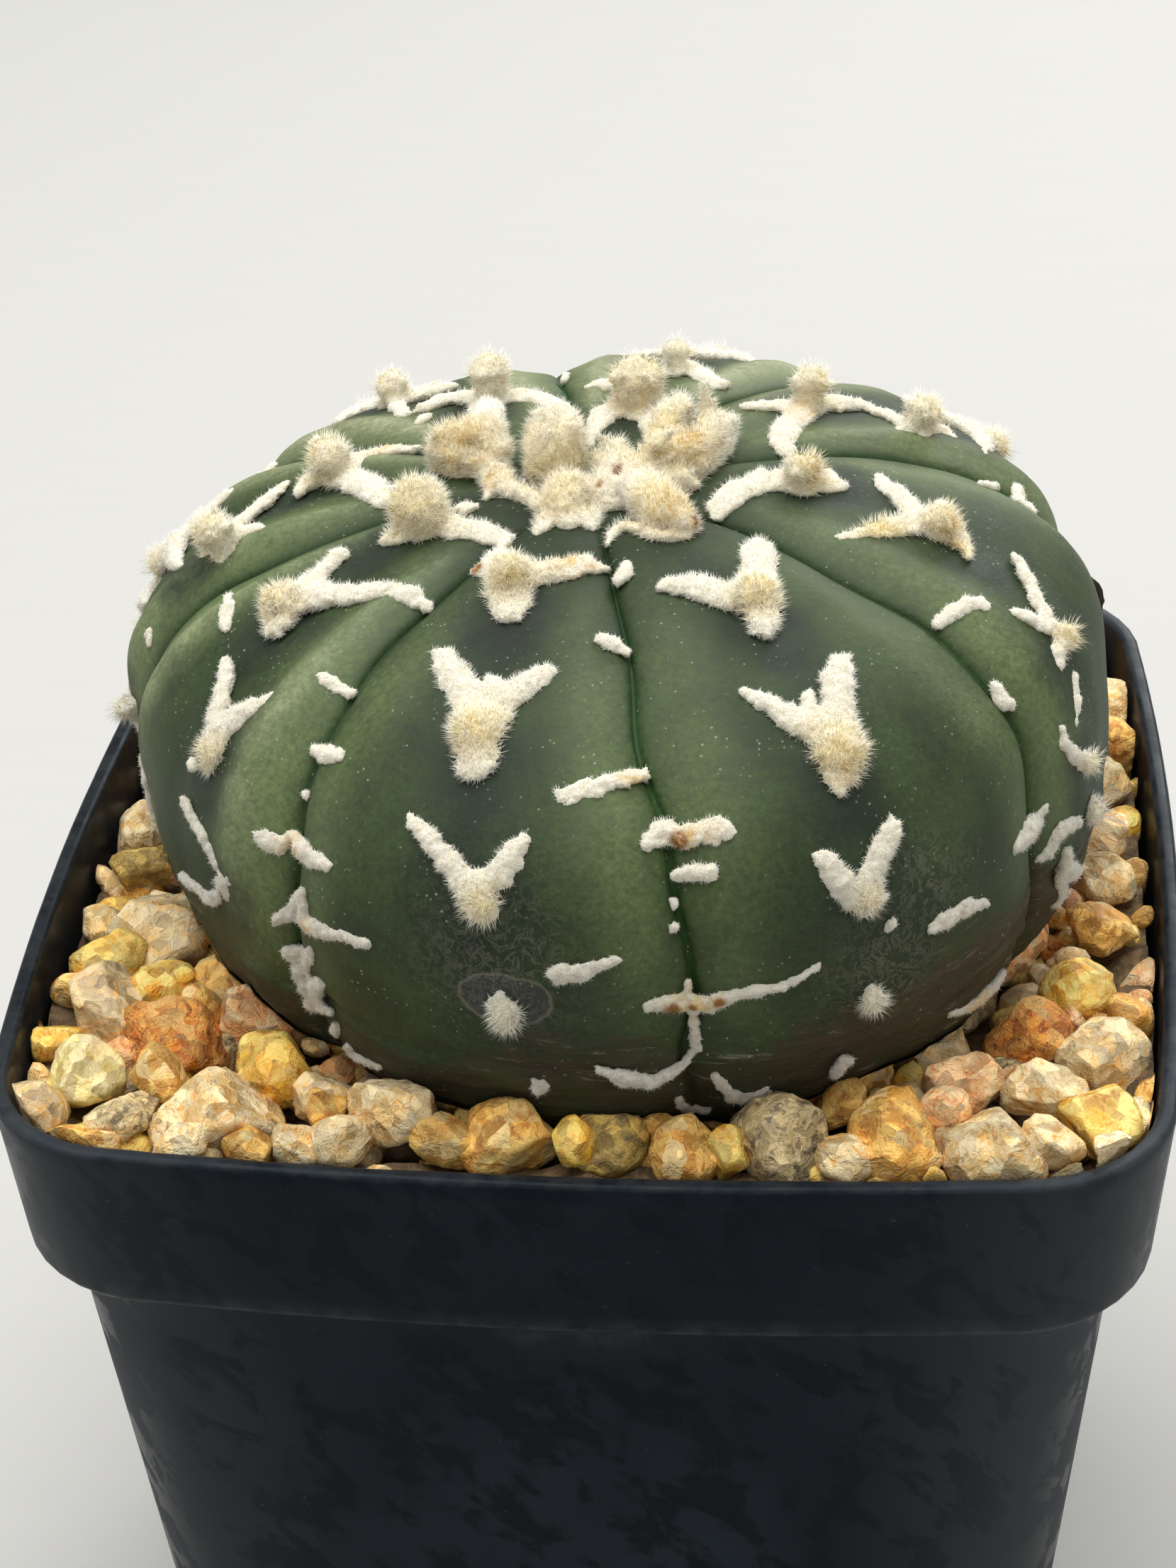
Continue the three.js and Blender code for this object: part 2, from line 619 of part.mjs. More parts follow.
// The chip's sections are uneven polygons, and a larger copy clears it by a given space
function chipSolid(space) {
  const random = seededRandom(RANDOM_SEED + 1);
  const rings = CHIP_SECTIONS.map(({ radius, height }, section) => {
    const end = section === 0 ? -space : 0;
    return Array.from({ length: CHIP_SIDES }, (_, i) => {
      const angle = 2 * Math.PI * i / CHIP_SIDES;
      const reach = radius * (1 + CHIP_ROUGHNESS * (2 * random() - 1)) + space;
      const x = CHIP_PLACE[0] + reach * Math.cos(angle);
      const y = CHIP_PLACE[1] + reach * Math.sin(angle);
      return new THREE.Vector3(x, y, height + end);
    });
  });
  return toSolid(skinThroughRings(rings));
}

// The object

const random = seededRandom(RANDOM_SEED);
const cactus = cactusSolid(0);
const aroundCactus = cactusSolid(CLEARANCE);
const crownWool = largestBody(crownWoolSolid(random).subtract(aroundCactus));
const chip = chipSolid(0);
const gravel = largestBody(gravelSolid(random).subtract(aroundCactus).subtract(chipSolid(CLEARANCE)));
const soil = potFilling(BASE_THICKNESS + CLEARANCE, SOIL_TOP).subtract(aroundCactus);

const FINISHES = {
  pot: { color: 0x1c2027, roughness: 0.55 },
  soil: { color: 0x3a2b20, roughness: 1 },
  gravel: { color: 0xc79a5b, roughness: 0.75 },
  cactus: { color: 0x42583d, roughness: 0.6 },
  crown_wool: { color: 0xe9dfc0, roughness: 1 },
  bark_chip: { color: 0x2f241c, roughness: 0.95 },
};

function namedMesh(name, geometry) {
  const { color, roughness } = FINISHES[name];
  const material = new THREE.MeshStandardMaterial({ color, roughness, metalness: 0 });
  const mesh = new THREE.Mesh(geometry, material);
  mesh.name = name;
  return mesh;
}

const object = new THREE.Group();
object.add(
  namedMesh('pot', potGeometry()),
  namedMesh('soil', toGeometry(soil)),
  namedMesh('gravel', toGeometry(gravel)),
  namedMesh('bark_chip', toGeometry(chip)),
  namedMesh('cactus', toGeometry(cactus)),
  namedMesh('crown_wool', toGeometry(crownWool)),
);

export default object;
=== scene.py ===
"""Potted star cactus, V type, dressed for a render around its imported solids.

The ribbed plant, its woolly flecks and crown tufts, the gravel, the bark chip and the square black
pot are built here as fine meshes on the places of their solids. Sizes are in millimetres and degrees
unless a name says otherwise, and every mesh is finished in metres.
"""

import json
import logging
import math
from dataclasses import dataclass, field
from enum import Enum
from typing import Callable, Iterable, Optional, Sequence

import bmesh
import bpy
import numpy as np
from bpy.types import Material, Mesh, Node, NodeSocket, Object
from mathutils import Matrix, Vector, noise
from mathutils.bvhtree import BVHTree
from mathutils.kdtree import KDTree

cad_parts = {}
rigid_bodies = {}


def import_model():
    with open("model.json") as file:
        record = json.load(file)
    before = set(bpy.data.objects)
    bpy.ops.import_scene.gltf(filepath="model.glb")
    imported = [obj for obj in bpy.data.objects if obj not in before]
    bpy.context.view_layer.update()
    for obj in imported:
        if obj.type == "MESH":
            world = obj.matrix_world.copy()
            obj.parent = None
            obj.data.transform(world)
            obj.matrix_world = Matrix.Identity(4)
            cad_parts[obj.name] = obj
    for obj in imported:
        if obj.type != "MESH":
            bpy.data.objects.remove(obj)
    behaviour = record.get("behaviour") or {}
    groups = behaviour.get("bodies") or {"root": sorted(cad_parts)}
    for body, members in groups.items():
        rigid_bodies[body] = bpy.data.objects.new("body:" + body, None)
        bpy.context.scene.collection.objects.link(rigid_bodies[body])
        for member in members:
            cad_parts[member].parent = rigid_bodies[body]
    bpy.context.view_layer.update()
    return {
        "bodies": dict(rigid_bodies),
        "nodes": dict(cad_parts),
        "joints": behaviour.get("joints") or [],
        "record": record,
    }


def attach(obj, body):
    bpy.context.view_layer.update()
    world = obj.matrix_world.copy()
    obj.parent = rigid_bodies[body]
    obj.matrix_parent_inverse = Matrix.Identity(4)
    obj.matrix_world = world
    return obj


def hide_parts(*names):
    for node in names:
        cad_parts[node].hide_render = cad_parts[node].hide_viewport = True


LOG = logging.getLogger("star_cactus")
MM = 0.001
SEED = 20240
Array = np.ndarray
Place = tuple[float, float]
Spot = tuple[float, float, float]
Colour = tuple[float, float, float]


# Numbers and meshes


class NumberStream:
    """A stream of numbers from 0 to 1 that is the same on each run."""

    def __init__(self, seed: int) -> None:
        """Starts the stream that a whole number names."""
        self.state = seed

    def take(self) -> float:
        """Returns the next number."""
        self.state = (self.state * 1664525 + 1013904223) % 4294967296
        return self.state / 4294967296

    def skip(self, count: int) -> None:
        """Leaves out the next numbers."""
        for _ in range(count):
            self.take()


def unit(vectors: Array) -> Array:
    """Returns vectors with a length of 1."""
    return vectors / np.linalg.norm(vectors, axis=-1, keepdims=True)


def smoothstep(low: float, high: float, value: Array) -> Array:
    """Returns a smooth ramp from 0 at low to 1 at high."""
    t = np.clip((value - low) / (high - low), 0.0, 1.0)
    return t * t * (3.0 - 2.0 * t)


def points_of(mesh: Mesh, key: str = "co") -> Array:
    """Reads a mesh.

    Args:
        mesh: Mesh to read.
        key: What is read: co for the points, normal for their normals.

    Returns:
        Rows of three numbers, one for each point.
    """
    flat = np.zeros(len(mesh.vertices) * 3)
    mesh.vertices.foreach_get(key, flat)
    return flat.reshape(-1, 3)


def set_points(mesh: Mesh, points: Array) -> None:
    """Moves the points of a mesh."""
    mesh.vertices.foreach_set("co", points.ravel())
    mesh.update()


def paint(mesh: Mesh, name: str, values: Array) -> None:
    """Gives each point of a mesh a value that its finish reads under a name."""
    layer = mesh.attributes.get(name) or mesh.attributes.new(name, "FLOAT", "POINT")
    layer.data.foreach_set("value", np.asarray(values, np.float32))


def roughness_at(points: Array, scale: float, octaves: int = 3, shift: float = 0.0) -> Array:
    """Returns fractal noise from -1 to 1, with a scale in millimetres and a shift of its pattern."""
    offset = Vector((shift, 1.7 * shift, -0.6 * shift))
    return np.array([noise.fractal(Vector(p) / scale + offset, 0.6, 2.1, octaves) for p in points])


def finish_object(name: str, mesh: Mesh, material: Material,
                  smooth: bool = True) -> Object:
    """Makes an object of a mesh and dresses it.

    Args:
        name: Piece name.
        mesh: Finished mesh, in metres.
        material: Finish of the piece.
        smooth: Whether its faces are shaded smooth.

    Returns:
        The new object, at the origin.
    """
    mesh.name = name
    mesh.materials.clear()
    mesh.materials.append(material)
    mesh.polygons.foreach_set("use_smooth", [smooth] * len(mesh.polygons))
    made = bpy.data.objects.new(name, mesh)
    bpy.context.scene.collection.objects.link(made)
    return made


def mesh_from(bm: bmesh.types.BMesh, name: str) -> Mesh:
    """Turns a bmesh into a mesh and frees it.

    Args:
        bm: The bmesh.
        name: Name of the mesh.

    Returns:
        The mesh, with its faces outwards.
    """
    bmesh.ops.recalc_face_normals(bm, faces=bm.faces)
    mesh = bpy.data.meshes.new(name)
    bm.to_mesh(mesh)
    bm.free()
    return mesh


def next_ring(bm: bmesh.types.BMesh, edges: list) -> tuple[list, list]:
    """Extrudes a ring of edges once.

    Args:
        bm: The bmesh that it belongs to.
        edges: The ring's edges.

    Returns:
        The points and the edges of the new ring.
    """
    grown = bmesh.ops.extrude_edge_only(bm, edges=edges)["geom"]
    return ([v for v in grown if isinstance(v, bmesh.types.BMVert)],
            [e for e in grown if isinstance(e, bmesh.types.BMEdge)])


def applied(mesh: Mesh, modify: Callable[[Object], None]) -> Mesh:
    """Runs modifiers on a mesh.

    Args:
        mesh: Mesh to start from.
        modify: Adds the modifiers to the object that it is given.

    Returns:
        The mesh with the modifiers applied.
    """
    carrier = bpy.data.objects.new("carrier", mesh)
    bpy.context.scene.collection.objects.link(carrier)
    modify(carrier)
    shown = carrier.evaluated_get(bpy.context.evaluated_depsgraph_get())
    result = bpy.data.meshes.new_from_object(shown)
    bpy.data.objects.remove(carrier)
    bpy.data.meshes.remove(mesh)
    return result


class Repeats:
    """Many moved copies of one small closed shape, gathered into a single mesh."""

    def __init__(self, shape: Mesh) -> None:
        """Starts without a copy.

        Args:
            shape: The shape that is repeated, which is used up.
        """
        self.points = points_of(shape)
        self.faces = np.array([tuple(p.vertices) for p in shape.polygons])
        self.copies: list[Array] = []
        self.values: dict[str, list[Array]] = {}
        bpy.data.meshes.remove(shape)

    def add(self, copies: Array, **values: Array) -> None:
        """Adds copies.

        Args:
            copies: The points of each copy, in the order of the shape's.
            **values: Values for all these points, by name.
        """
        self.copies.append(copies.reshape(-1, len(self.points), 3))
        for key, value in values.items():
            self.values.setdefault(key, []).append(value)


def gathered(name: str, groups: Sequence[Repeats]) -> Mesh:
    """Gathers repeated shapes of triangles.

    Args:
        name: Name of the mesh.
        groups: The copies, one group for each shape.

    Returns:
        One mesh with all the copies and their values.
    """
    points, faces, first = [], [], 0
    for group in groups:
        copies = np.concatenate(group.copies)
        starts = first + np.arange(len(copies)) * len(group.points)
        faces.append((group.faces[None, :, :] + starts[:, None, None]).reshape(-1, 3))
        points.append(copies.reshape(-1, 3))
        first += len(points[-1])
    made = bpy.data.meshes.new(name)
    made.from_pydata(np.concatenate(points).tolist(), [], np.concatenate(faces).tolist())
    for key in groups[0].values:
        paint(made, key, np.concatenate([value for group in groups for value in group.values[key]]))
    return made


def ball_shape(detail: int) -> Mesh:
    """Makes a ball of triangles with a radius of 1.

    Args:
        detail: How often the triangles of the roughest ball are divided.

    Returns:
        The ball.
    """
    bm = bmesh.new()
    bmesh.ops.create_icosphere(bm, subdivisions=detail, radius=1.0)
    return mesh_from(bm, "ball")


def cone_shape() -> Mesh:
    """Makes a three-sided cone from 0 to 1 with a radius of 1 at its foot.

    Returns:
        The cone.
    """
    bm = bmesh.new()
    bmesh.ops.create_cone(bm, segments=3, cap_ends=True, cap_tris=False, radius1=1.0, radius2=0.0, depth=1.0)
    bmesh.ops.remove_doubles(bm, verts=bm.verts, dist=1e-4)
    bmesh.ops.translate(bm, verts=bm.verts, vec=(0, 0, 0.5))
    return mesh_from(bm, "cone")


# Finishes


class NodeSheet:
    """The shader nodes of one material, with short names for what its finishes need."""

    def __init__(self, name: str) -> None:
        """Starts a material with one principled shader.

        Args:
            name: Name of the material.
        """
        self.material = bpy.data.materials.new(name)
        self.material.use_nodes = True
        self.tree = self.material.node_tree
        self.shader = next(n for n in self.tree.nodes if n.type == "BSDF_PRINCIPLED")
        self.coordinates = self.tree.nodes.new("ShaderNodeTexCoord").outputs["Object"]

    def put(self, socket: NodeSocket, value: object) -> None:
        """Feeds a socket.

        Args:
            socket: Input of a node.
            value: A constant, or the output that is linked to it.
        """
        if isinstance(value, NodeSocket):
            self.tree.links.new(value, socket)
        elif socket.type == "RGBA" and len(value) == 3:
            socket.default_value = (*value, 1.0)
        else:
            socket.default_value = value

    def node(self, kind: str, feeds: dict[object, object], **settings: object) -> Node:
        """Adds a node.

        Args:
            kind: Blender's name for it.
            feeds: A constant or an output for each of its inputs, by name or number.
            **settings: Its properties.

        Returns:
            The new node.
        """
        made = self.tree.nodes.new(kind)
        for key, value in settings.items():
            setattr(made, key, value)
        for key, value in feeds.items():
            self.put(made.inputs[key], value)
        return made

    def stretched(self, factors: Colour, turn: Colour = (0.0, 0.0, 0.0), kind: str = "POINT") -> NodeSocket:
        """Returns the coordinates, turned and stretched along each axis in the way that kind names."""
        feeds = {"Vector": self.coordinates, "Rotation": turn, "Scale": factors}
        return self.node("ShaderNodeMapping", feeds, vector_type=kind).outputs["Vector"]

    def noise(self, size: float, detail: float = 4.0, rough: float = 0.55, twist: float = 0.0,
              vector: Optional[NodeSocket] = None) -> NodeSocket:
        """Adds noise.

        Args:
            size: Size of its lumps, in millimetres.
            detail: How many finer layers it has.
            rough: Strength of the finer layers.
            twist: How much the lumps are drawn out into curls.
            vector: Coordinates to use in place of the object's own.

        Returns:
            Its value, from 0 to 1.
        """
        feeds = {"Vector": vector or self.coordinates, "Scale": 1 / (size * MM), "Detail": detail,
                 "Roughness": rough, "Distortion": twist}
        return self.node("ShaderNodeTexNoise", feeds).outputs["Fac"]

    def cells(self, size: float) -> Node:
        """Returns a cell pattern node with cells of a size in millimetres."""
        return self.node("ShaderNodeTexVoronoi", {"Vector": self.coordinates, "Scale": 1 / (size * MM)})

    def value_of(self, name: str) -> NodeSocket:
        """Returns the value painted on the mesh under a name."""
        return self.node("ShaderNodeAttribute", {}, attribute_name=name).outputs["Fac"]

    def ramp(self, value: object, low: float, high: float, start: float = 0.0,
             end: float = 1.0) -> NodeSocket:
        """Returns start where the value is low, end where it is high, and smooth between."""
        feeds = {"Value": value, "From Min": low, "From Max": high, "To Min": start, "To Max": end}
        return self.node("ShaderNodeMapRange", feeds, interpolation_type="SMOOTHSTEP").outputs["Result"]

    def blend(self, first: object, second: object, amount: object, mode: str = "MIX") -> NodeSocket:
        """Returns a mix of two colours, or their product for mode MULTIPLY."""
        feeds = {"Factor": amount, 6: first, 7: second}
        return self.node("ShaderNodeMix", feeds, data_type="RGBA", blend_type=mode).outputs[2]

    def calc(self, operation: str, first: object, second: object = 0.0) -> NodeSocket:
        """Returns the result of an arithmetic step."""
        return self.node("ShaderNodeMath", {0: first, 1: second}, operation=operation).outputs["Value"]

    def times(self, first: object, second: object) -> NodeSocket:
        """Returns a product."""
        return self.calc("MULTIPLY", first, second)

    def broken(self, name: str, lumps: NodeSocket, low: float, high: float, start: float = 0.0,
               end: float = 1.0) -> NodeSocket:
        """Returns the value painted under a name, broken up by a ramp of some noise."""
        return self.times(self.value_of(name), self.ramp(lumps, low, high, start, end))

    def oval(self, centre: Sequence[float], axes: Iterable[tuple[Sequence[float], float]]) -> NodeSocket:
        """Measures the distance from the middle of an ellipsoid.

        Args:
            centre: Its middle, in metres.
            axes: The unit direction of each axis and its half length in millimetres.

        Returns:
            The distance, 1 on the ellipsoid's surface.
        """
        away = self.node("ShaderNodeVectorMath", {0: self.coordinates, 1: centre}, operation="SUBTRACT")
        total: object = 0.0
        for direction, half in axes:
            feeds = {0: away.outputs["Vector"], 1: [c / (half * MM) for c in direction]}
            along = self.node("ShaderNodeVectorMath", feeds, operation="DOT_PRODUCT").outputs["Value"]
            total = self.calc("ADD", self.calc("POWER", self.calc("ABSOLUTE", along), 2.0), total)
        return self.calc("SQRT", total)

    def relief(self, height: object, depth: float, strength: float = 1.0) -> None:
        """Adds bumps under those that the shader has already.

        Args:
            height: Socket from 0 to 1.
            depth: Height of a full bump, in millimetres.
            strength: Share of the effect.
        """
        made = self.node("ShaderNodeBump", {"Strength": strength, "Distance": depth * MM, "Height": height})
        normal = self.shader.inputs["Normal"]
        if normal.links:
            self.put(made.inputs["Normal"], normal.links[0].from_socket)
        self.put(normal, made.outputs["Normal"])

    def set(self, **values: object) -> None:
        """Sets the shader's sockets, with underscores for the spaces of their names."""
        for key, value in values.items():
            self.put(self.shader.inputs[key.replace("_", " ")], value)


@dataclass(frozen=True)
class SkinFinish:
    """Matt grey-green skin with paler flanks, dark areole line, corky base, scuffs and white dust, with
    painted shade on the front near the crown and painted sheen on the back.
    """

    dark: Colour = (0.017, 0.029, 0.0094)
    green: Colour = (0.031, 0.053, 0.0134)
    flank: Colour = (0.110, 0.148, 0.054)
    fold: Colour = (0.225, 0.260, 0.130)
    areole: Colour = (0.0070, 0.0155, 0.0070)
    groove: Colour = (0.012, 0.046, 0.006)
    cork: Colour = (0.043, 0.030, 0.013)
    scratch: Colour = (0.230, 0.200, 0.150)
    scar: Colour = (0.030, 0.034, 0.030)
    dust: Colour = (0.300, 0.330, 0.250)
    shadow: Colour = (0.50, 0.55, 0.60)
    # Painted sheen that lightens the ribs at the back where grazing light falls.
    bloom: Colour = (1.38, 1.22, 1.45)
    scar_at: Place = (-95.7, 88.6)
    scar_size: Spot = (2.85, 1.75, 2.5)

    def material(self) -> Material:
        """Builds the material.

        Returns:
            The material.
        """
        s = NodeSheet("cactus_skin")
        colour = s.blend(self.dark, self.green, s.ramp(s.noise(7.0, 6.0, 0.66, 0.5), 0.34, 0.66))
        # Pale flanks and folds, larger on the ribs at the back as painted sheen, and dark areoles with a
        # painted shade below each fleck.
        for tone, name, lumps, ends in (
            (self.flank, "flank", (9.0, 5.0, 0.62), (0.28, 0.66, 0.40)),
            (self.fold, "fold", (3.6, 5.0, 0.65), (0.30, 0.66, 0.35)),
            (self.areole, "areole", (2.4, 6.0, 0.68), (0.32, 0.68, 0.65)),
        ):
            colour = s.blend(colour, tone, s.broken(name, s.noise(*lumps), *ends))
        # The suture's own dark green, deepened as painted shade in the crease.
        colour = s.blend(colour, self.groove, s.value_of("crease"))
        colour = s.blend(colour, self.shadow, s.value_of("shade"), "MULTIPLY")
        # Painted sheen on the ribs at the back.
        colour = s.blend(colour, self.bloom, s.value_of("bloom"), "MULTIPLY")
        grain = s.noise(0.42, 4.0, 0.72)
        colour = s.blend(colour, s.ramp(grain, 0.30, 0.72, 0.74, 1.28), 1.0, "MULTIPLY")
        uneven = s.ramp(s.noise(3.0, 6.0, 0.72), 0.2, 0.8, -0.38, 0.38)
        low = s.calc("ADD", s.value_of("low"), uneven)
        colour = s.blend(colour, self.cork, s.ramp(low, 0.35, 0.90, 0.0, 0.92))
        streaks = s.noise(1.3, 6.0, 0.75, 0.9, s.stretched((0.30, 0.30, 1.7)))
        scratches = s.times(s.ramp(streaks, 0.58, 0.68), s.ramp(s.value_of("low"), 0.12, 0.7, 0.0, 0.75))
        colour = s.blend(colour, self.scratch, scratches)
        colour = self.scarred(s, colour)
        curls = s.calc("ABSOLUTE", s.calc("SUBTRACT", s.noise(1.1, 4.0, 0.7, 0.9), 0.5))
        curls = s.ramp(curls, 0.008, 0.050, 1.0, 0.0)
        colour = s.blend(colour, self.scratch, s.times(curls, s.value_of("scuff")))
        dust = s.ramp(s.cells(0.55).outputs["Distance"], 0.09, 0.18, 1.0, 0.0)
        settled = s.ramp(s.noise(4.0, 5.0, 0.72), 0.46, 0.64, 0.04, 0.70)
        colour = s.blend(colour, self.dust, s.times(dust, settled))
        s.set(Base_Color=colour, Roughness=s.ramp(grain, 0.25, 0.8, 0.54, 0.72), Specular_IOR_Level=0.28)
        s.set(Subsurface_Weight=0.05, Subsurface_Radius=(0.6, 1.0, 0.3), Subsurface_Scale=0.001)
        s.relief(s.noise(0.30, 4.0, 0.68), 0.045, 0.8)
        s.relief(s.noise(0.9, 4.0, 0.6), 0.07, 0.6)
        s.relief(s.times(streaks, s.value_of("low")), 0.5, 0.9)
        s.relief(s.noise(4.2, 3.0, 0.5), 0.2, 0.5)
        return s.material

    def scarred(self, s: NodeSheet, colour: NodeSocket) -> NodeSocket:
        """Adds the oval scar round a lost areole, with its pale rim.

        Args:
            s: Nodes of the skin.
            colour: Colour of the skin so far.

        Returns:
            The colour with the scar.
        """
        oval = s.oval(SKIN.place(*self.scar_at), zip(SKIN.axes_at(*self.scar_at), self.scar_size))
        oval = s.calc("ADD", oval, s.ramp(s.noise(1.6, 4.0, 0.65), 0.2, 0.8, -0.10, 0.10))
        colour = s.blend(colour, self.scar, s.ramp(oval, 0.92, 1.03, 0.85, 0.0))
        rim = s.calc("ABSOLUTE", s.calc("SUBTRACT", oval, 1.04))
        return s.blend(colour, self.scratch, s.ramp(rim, 0.01, 0.09, 0.36, 0.0))


@dataclass(frozen=True)
class WoolFinish:
    """Matt felted wool, white on the arms and cream to tan on the pads, with painted shade in the pits of the
    felt.
    """

    name: str
    white: Colour = (0.91, 0.872, 0.745)
    cream: Colour = (0.97, 0.80, 0.385)
    grey: Colour = (0.66, 0.64, 0.57)
    pale_cream: Colour = (0.96, 0.90, 0.68)
    tan: Colour = (0.80, 0.60, 0.28)
    brown: Colour = (0.34, 0.150, 0.030)
    # Colour multiplied in as painted shade in the pits of the felt.
    pits: Colour = (0.87, 0.76, 0.54)
    grey_below: float = 0.082
    white_above: float = 0.094
    fibres: bool = False

    def material(self) -> Material:
        """Builds the material.

        Returns:
            The material.
        """
        s = NodeSheet(self.name)
        clumps = s.noise(0.9, 4.0, 0.65, 0.4)
        height = s.node("ShaderNodeSeparateXYZ", {0: s.coordinates}).outputs["Z"]
        weathered = s.ramp(height, self.grey_below, self.white_above, 1.0, 0.0)
        greyed = s.blend(self.white, self.grey, s.ramp(clumps, 0.3, 0.6, 0.5))
        colour = s.blend(self.white, greyed, weathered)
        creamy = s.blend(self.cream, self.pale_cream, weathered)
        colour = s.blend(colour, creamy, s.broken("pad", clumps, 0.28, 0.68, 0.35))
        colour = s.blend(colour, self.tan, s.broken("tan", clumps, 0.34, 0.62))
        stain = s.times(s.ramp(s.value_of("stain"), 0.10, 0.70), s.ramp(clumps, 0.2, 0.5))
        colour = s.blend(colour, self.brown, stain)
        if not self.fibres:
            felt = s.noise(0.16, 4.0, 0.8, 0.6)
            # Painted shade in the felt's pits, where its bumps are low.
            colour = s.blend(colour, self.pits, s.ramp(felt, 0.30, 0.58, 1.0, 0.0), "MULTIPLY")
            s.relief(felt, 0.14, 0.9)
            s.relief(s.noise(0.5, 4.0, 0.7, 0.5), 0.25, 0.8)
        s.set(Base_Color=colour, Roughness=0.95, Specular_IOR_Level=0.10, Sheen_Weight=0.12)
        s.set(Subsurface_Weight=0.2, Subsurface_Radius=(1.0, 0.85, 0.6), Subsurface_Scale=0.0006)
        return s.material


@dataclass(frozen=True)
class StoneFinish:
    """Rough quartz or granite: a cloudy ground with patches, crystal faces, worn edges and dark specks."""

    name: str
    base: Colour
    patch: Colour
    vein: Colour
    bright: Colour = (0.86, 0.74, 0.50)
    patch_size: float = 2.6
    crystal: float = 1.1
    speck_share: float = 0.1
    rough: float = 0.55
    clear: float = 0.0
    pits: float = 0.36
    speck: Colour = (0.045, 0.038, 0.034)
    dirt: Colour = (0.21, 0.115, 0.038)
    warmth: Colour = (1.03, 0.92, 0.76)

    def material(self) -> Material:
        """Builds the material.

        Returns:
            The material.
        """
        s = NodeSheet(self.name)
        patches = s.noise(self.patch_size, 5.0, 0.66, 1.4)
        colour = s.blend(self.base, self.patch, s.ramp(patches, 0.46, 0.56))
        veins = s.noise(1.9, 5.0, 0.7, 2.0, s.stretched((1.0, 0.5, 1.4)))
        colour = s.blend(colour, self.vein, s.ramp(veins, 0.54, 0.62, 0.0, 0.9))
        crystals = s.cells(self.crystal)
        facets = s.node("ShaderNodeSeparateColor", {0: crystals.outputs["Color"]}).outputs
        chosen = s.times(s.ramp(facets[1], 0.66, 0.72), s.ramp(s.noise(3.0, 3.0), 0.40, 0.60))
        colour = s.blend(colour, self.bright, s.times(chosen, 0.8))
        tones = s.ramp(facets[0], 0.0, 1.0, 0.62, 1.24), s.ramp(s.value_of("tone"), 0.0, 1.0, 0.86, 1.14)
        for tone in tones:
            colour = s.blend(colour, tone, 1.0, "MULTIPLY")
        share = self.speck_share
        specks = s.ramp(s.noise(0.9, 3.0, 0.6, 0.3), 0.66 - 0.3 * share, 0.70 - 0.2 * share)
        colour = s.blend(colour, self.speck, s.times(specks, min(1.0, 0.2 + share)))
        fresh = tuple(min(0.9, 0.10 + 1.15 * c) for c in self.patch)
        colour = s.blend(colour, fresh, s.broken("edge", s.noise(0.8, 4.0, 0.7), 0.35, 0.62, 0.05, 0.6))
        colour = s.blend(colour, self.dirt, s.ramp(s.noise(1.3, 5.0, 0.75), 0.52, 0.76, 0.0, 0.36))
        colour = s.blend(colour, self.warmth, 1.0, "MULTIPLY")
        gloss = s.ramp(facets[2], 0.70, 0.80, 0.0, 0.22)
        rough = s.calc("SUBTRACT", s.ramp(patches, 0.3, 0.7, self.rough - 0.10, self.rough + 0.18), gloss)
        s.set(Base_Color=colour, Roughness=rough, Specular_IOR_Level=0.6)
        if self.clear:
            s.set(Subsurface_Weight=self.clear, Subsurface_Radius=(1.0, 0.7, 0.4), Subsurface_Scale=0.0012)
        s.relief(crystals.outputs["Distance"], 0.35, 0.8)
        s.relief(s.noise(0.35, 5.0, 0.75), 0.5 * self.pits, 0.8)
        s.relief(s.noise(1.4, 4.0, 0.7, 0.8), 1.6 * self.pits, 0.9)
        return s.material


